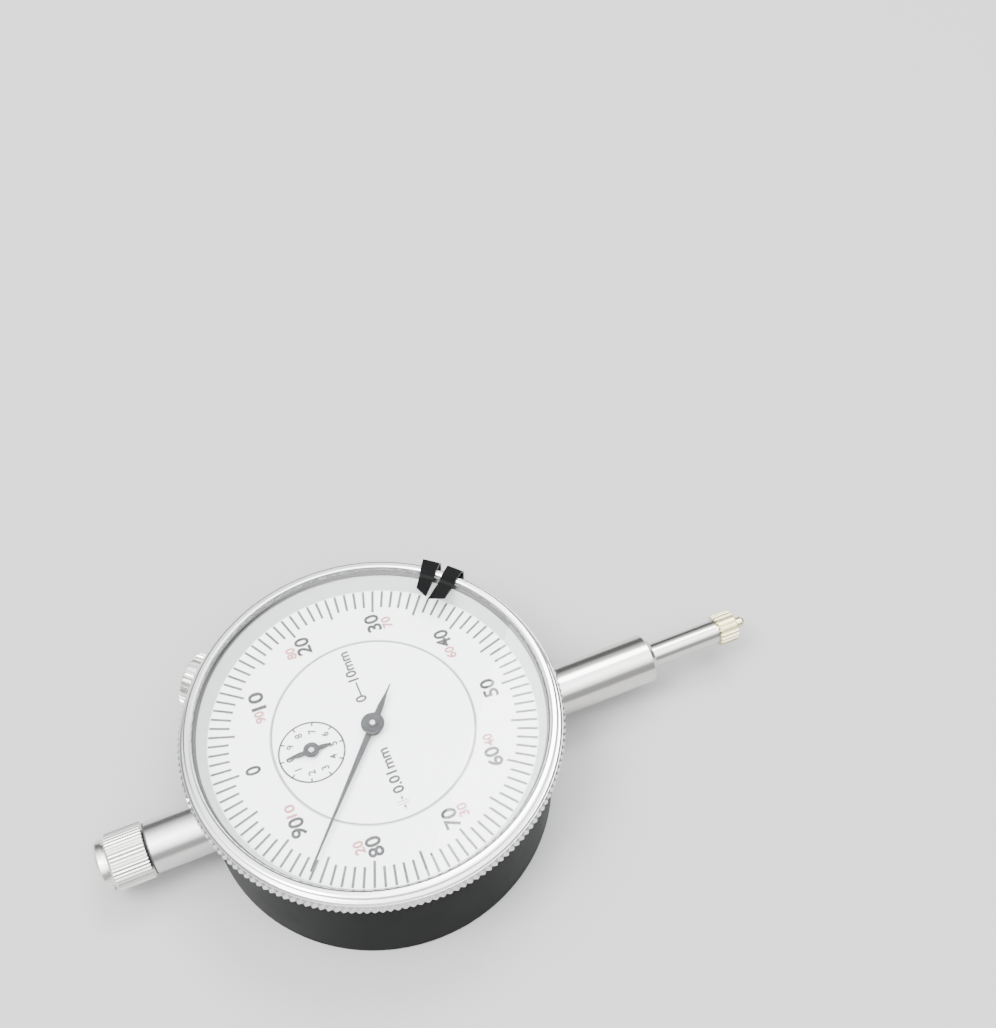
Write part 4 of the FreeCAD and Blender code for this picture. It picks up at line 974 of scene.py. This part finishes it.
@dataclass
class Studio:
    """Floor, light and camera."""

    floor_size: float = 4.0
    floor_color: Color = (0.4, 0.4, 0.395)
    floor_patches: float = 60.0
    floor_darker: float = 0.985
    floor_roughness: float = 0.9
    sky_color: Color = (0.97, 0.985, 1.0)
    sky: float = 6.2
    horizon: float = 0.45
    sky_rise: tuple[float, float] = (0.5, 0.9)
    near_share: float = 1.35
    far_share: float = 0.4
    share_change: tuple[float, float] = (-0.2, 0.5)
    camera_place: tuple[float, float, float] = (-0.091192, 0.018342, 0.193508)
    look: tuple[float, float, float] = (0.552079, -0.234485, -0.800141)
    camera_up: tuple[float, float, float] = (0.734755, -0.316807, 0.599807)
    sensor: float = 36.0
    lens: float = 47.009

    def build(self) -> None:
        """Make the floor, the lamps, the sky and the camera."""
        low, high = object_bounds()
        middle = (Vector(low) + Vector(high)) / 2
        self._floor(Vector(low).z)
        self._sky()
        for lamp in (
            Softbox("key_softbox", (-0.1, 0.35, 0.8), 0.3, 8.0),
            Softbox("fill_softbox", (0.25, -0.25, 0.8), 0.3, 5.0),
        ):
            lamp.build(middle)
        self._camera()

    def _floor(self, level: float) -> None:
        """Lay the pale floor.

        Args:
            level: The height of the floor.
        """
        half = self.floor_size / 2
        corners = [(-half, -half, level), (half, -half, level), (half, half, level), (-half, half, level)]
        mesh = bpy.data.meshes.new("floor")
        mesh.from_pydata(corners, [], [(0, 1, 2, 3)])
        material = bpy.data.materials.new("floor_pale")
        material.use_nodes = True
        graph = Graph(material.node_tree)
        shader = material.node_tree.nodes["Principled BSDF"]
        noise = graph.add("ShaderNodeTexNoise")
        noise.inputs["Scale"].default_value = self.floor_patches
        pale = (*self.floor_color, 1.0)
        slightly_darker = tuple(part * self.floor_darker for part in self.floor_color) + (1.0,)
        graph.join(graph.mix(noise.outputs["Fac"], slightly_darker, pale), shader.inputs["Base Color"])
        shader.inputs["Roughness"].default_value = self.floor_roughness
        mesh.materials.append(material)
        floor = bpy.data.objects.new("floor", mesh)
        bpy.context.scene.collection.objects.link(floor)
        floor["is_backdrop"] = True

    def _sky(self) -> None:
        """Give the scene a wide soft light overhead, weaker at the horizon and on the far side."""
        world = bpy.data.worlds.new("studio")
        world.use_nodes = True
        graph = Graph(world.node_tree)
        background = world.node_tree.nodes["Background"]
        background.inputs["Color"].default_value = (*self.sky_color, 1.0)
        place = graph.add("ShaderNodeTexCoord")
        split = graph.add("ShaderNodeSeparateXYZ")
        graph.join(place.outputs["Generated"], split.inputs["Vector"])
        overhead = graph.ramp(split.outputs["Z"], *self.sky_rise, self.horizon, self.sky)
        away = graph.add("ShaderNodeVectorMath", operation="DOT_PRODUCT")
        graph.join(place.outputs["Generated"], away.inputs[0])
        away.inputs[1].default_value = Vector((self.look[0], self.look[1], 0.0)).normalized()
        facing = graph.ramp(away.outputs["Value"], *self.share_change, self.near_share, self.far_share)
        graph.join(graph.math("MULTIPLY", overhead, facing), background.inputs["Strength"])
        bpy.context.scene.world = world

    def _camera(self) -> None:
        """Stand the camera where the fitted view has it."""
        back = -Vector(self.look).normalized()
        right = Vector(self.camera_up).cross(back).normalized()
        up = back.cross(right)
        turned = Matrix((right, up, back)).transposed().to_4x4()
        data = bpy.data.cameras.new("camera")
        data.sensor_fit = "HORIZONTAL"
        data.sensor_width = self.sensor
        data.lens = self.lens
        data.clip_start = 0.01
        camera = bpy.data.objects.new("camera", data)
        camera.matrix_world = Matrix.Translation(self.camera_place) @ turned
        bpy.context.scene.collection.objects.link(camera)
        bpy.context.scene.camera = camera


def main() -> None:
    """Dress and print the indicator, then light it."""
    logging.basicConfig(level=logging.INFO, format="%(name)s: %(message)s")
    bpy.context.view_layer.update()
    wardrobe = Wardrobe()
    for part in (CaseShell, SpindleSet, Movement, BezelSet, Pointers, BezelLock, DialFace):
        part(wardrobe).build()
        LOG.info("%s done", part.__name__)
    Studio().build()
    LOG.info("studio done")


if __name__ == "__main__":
    main()
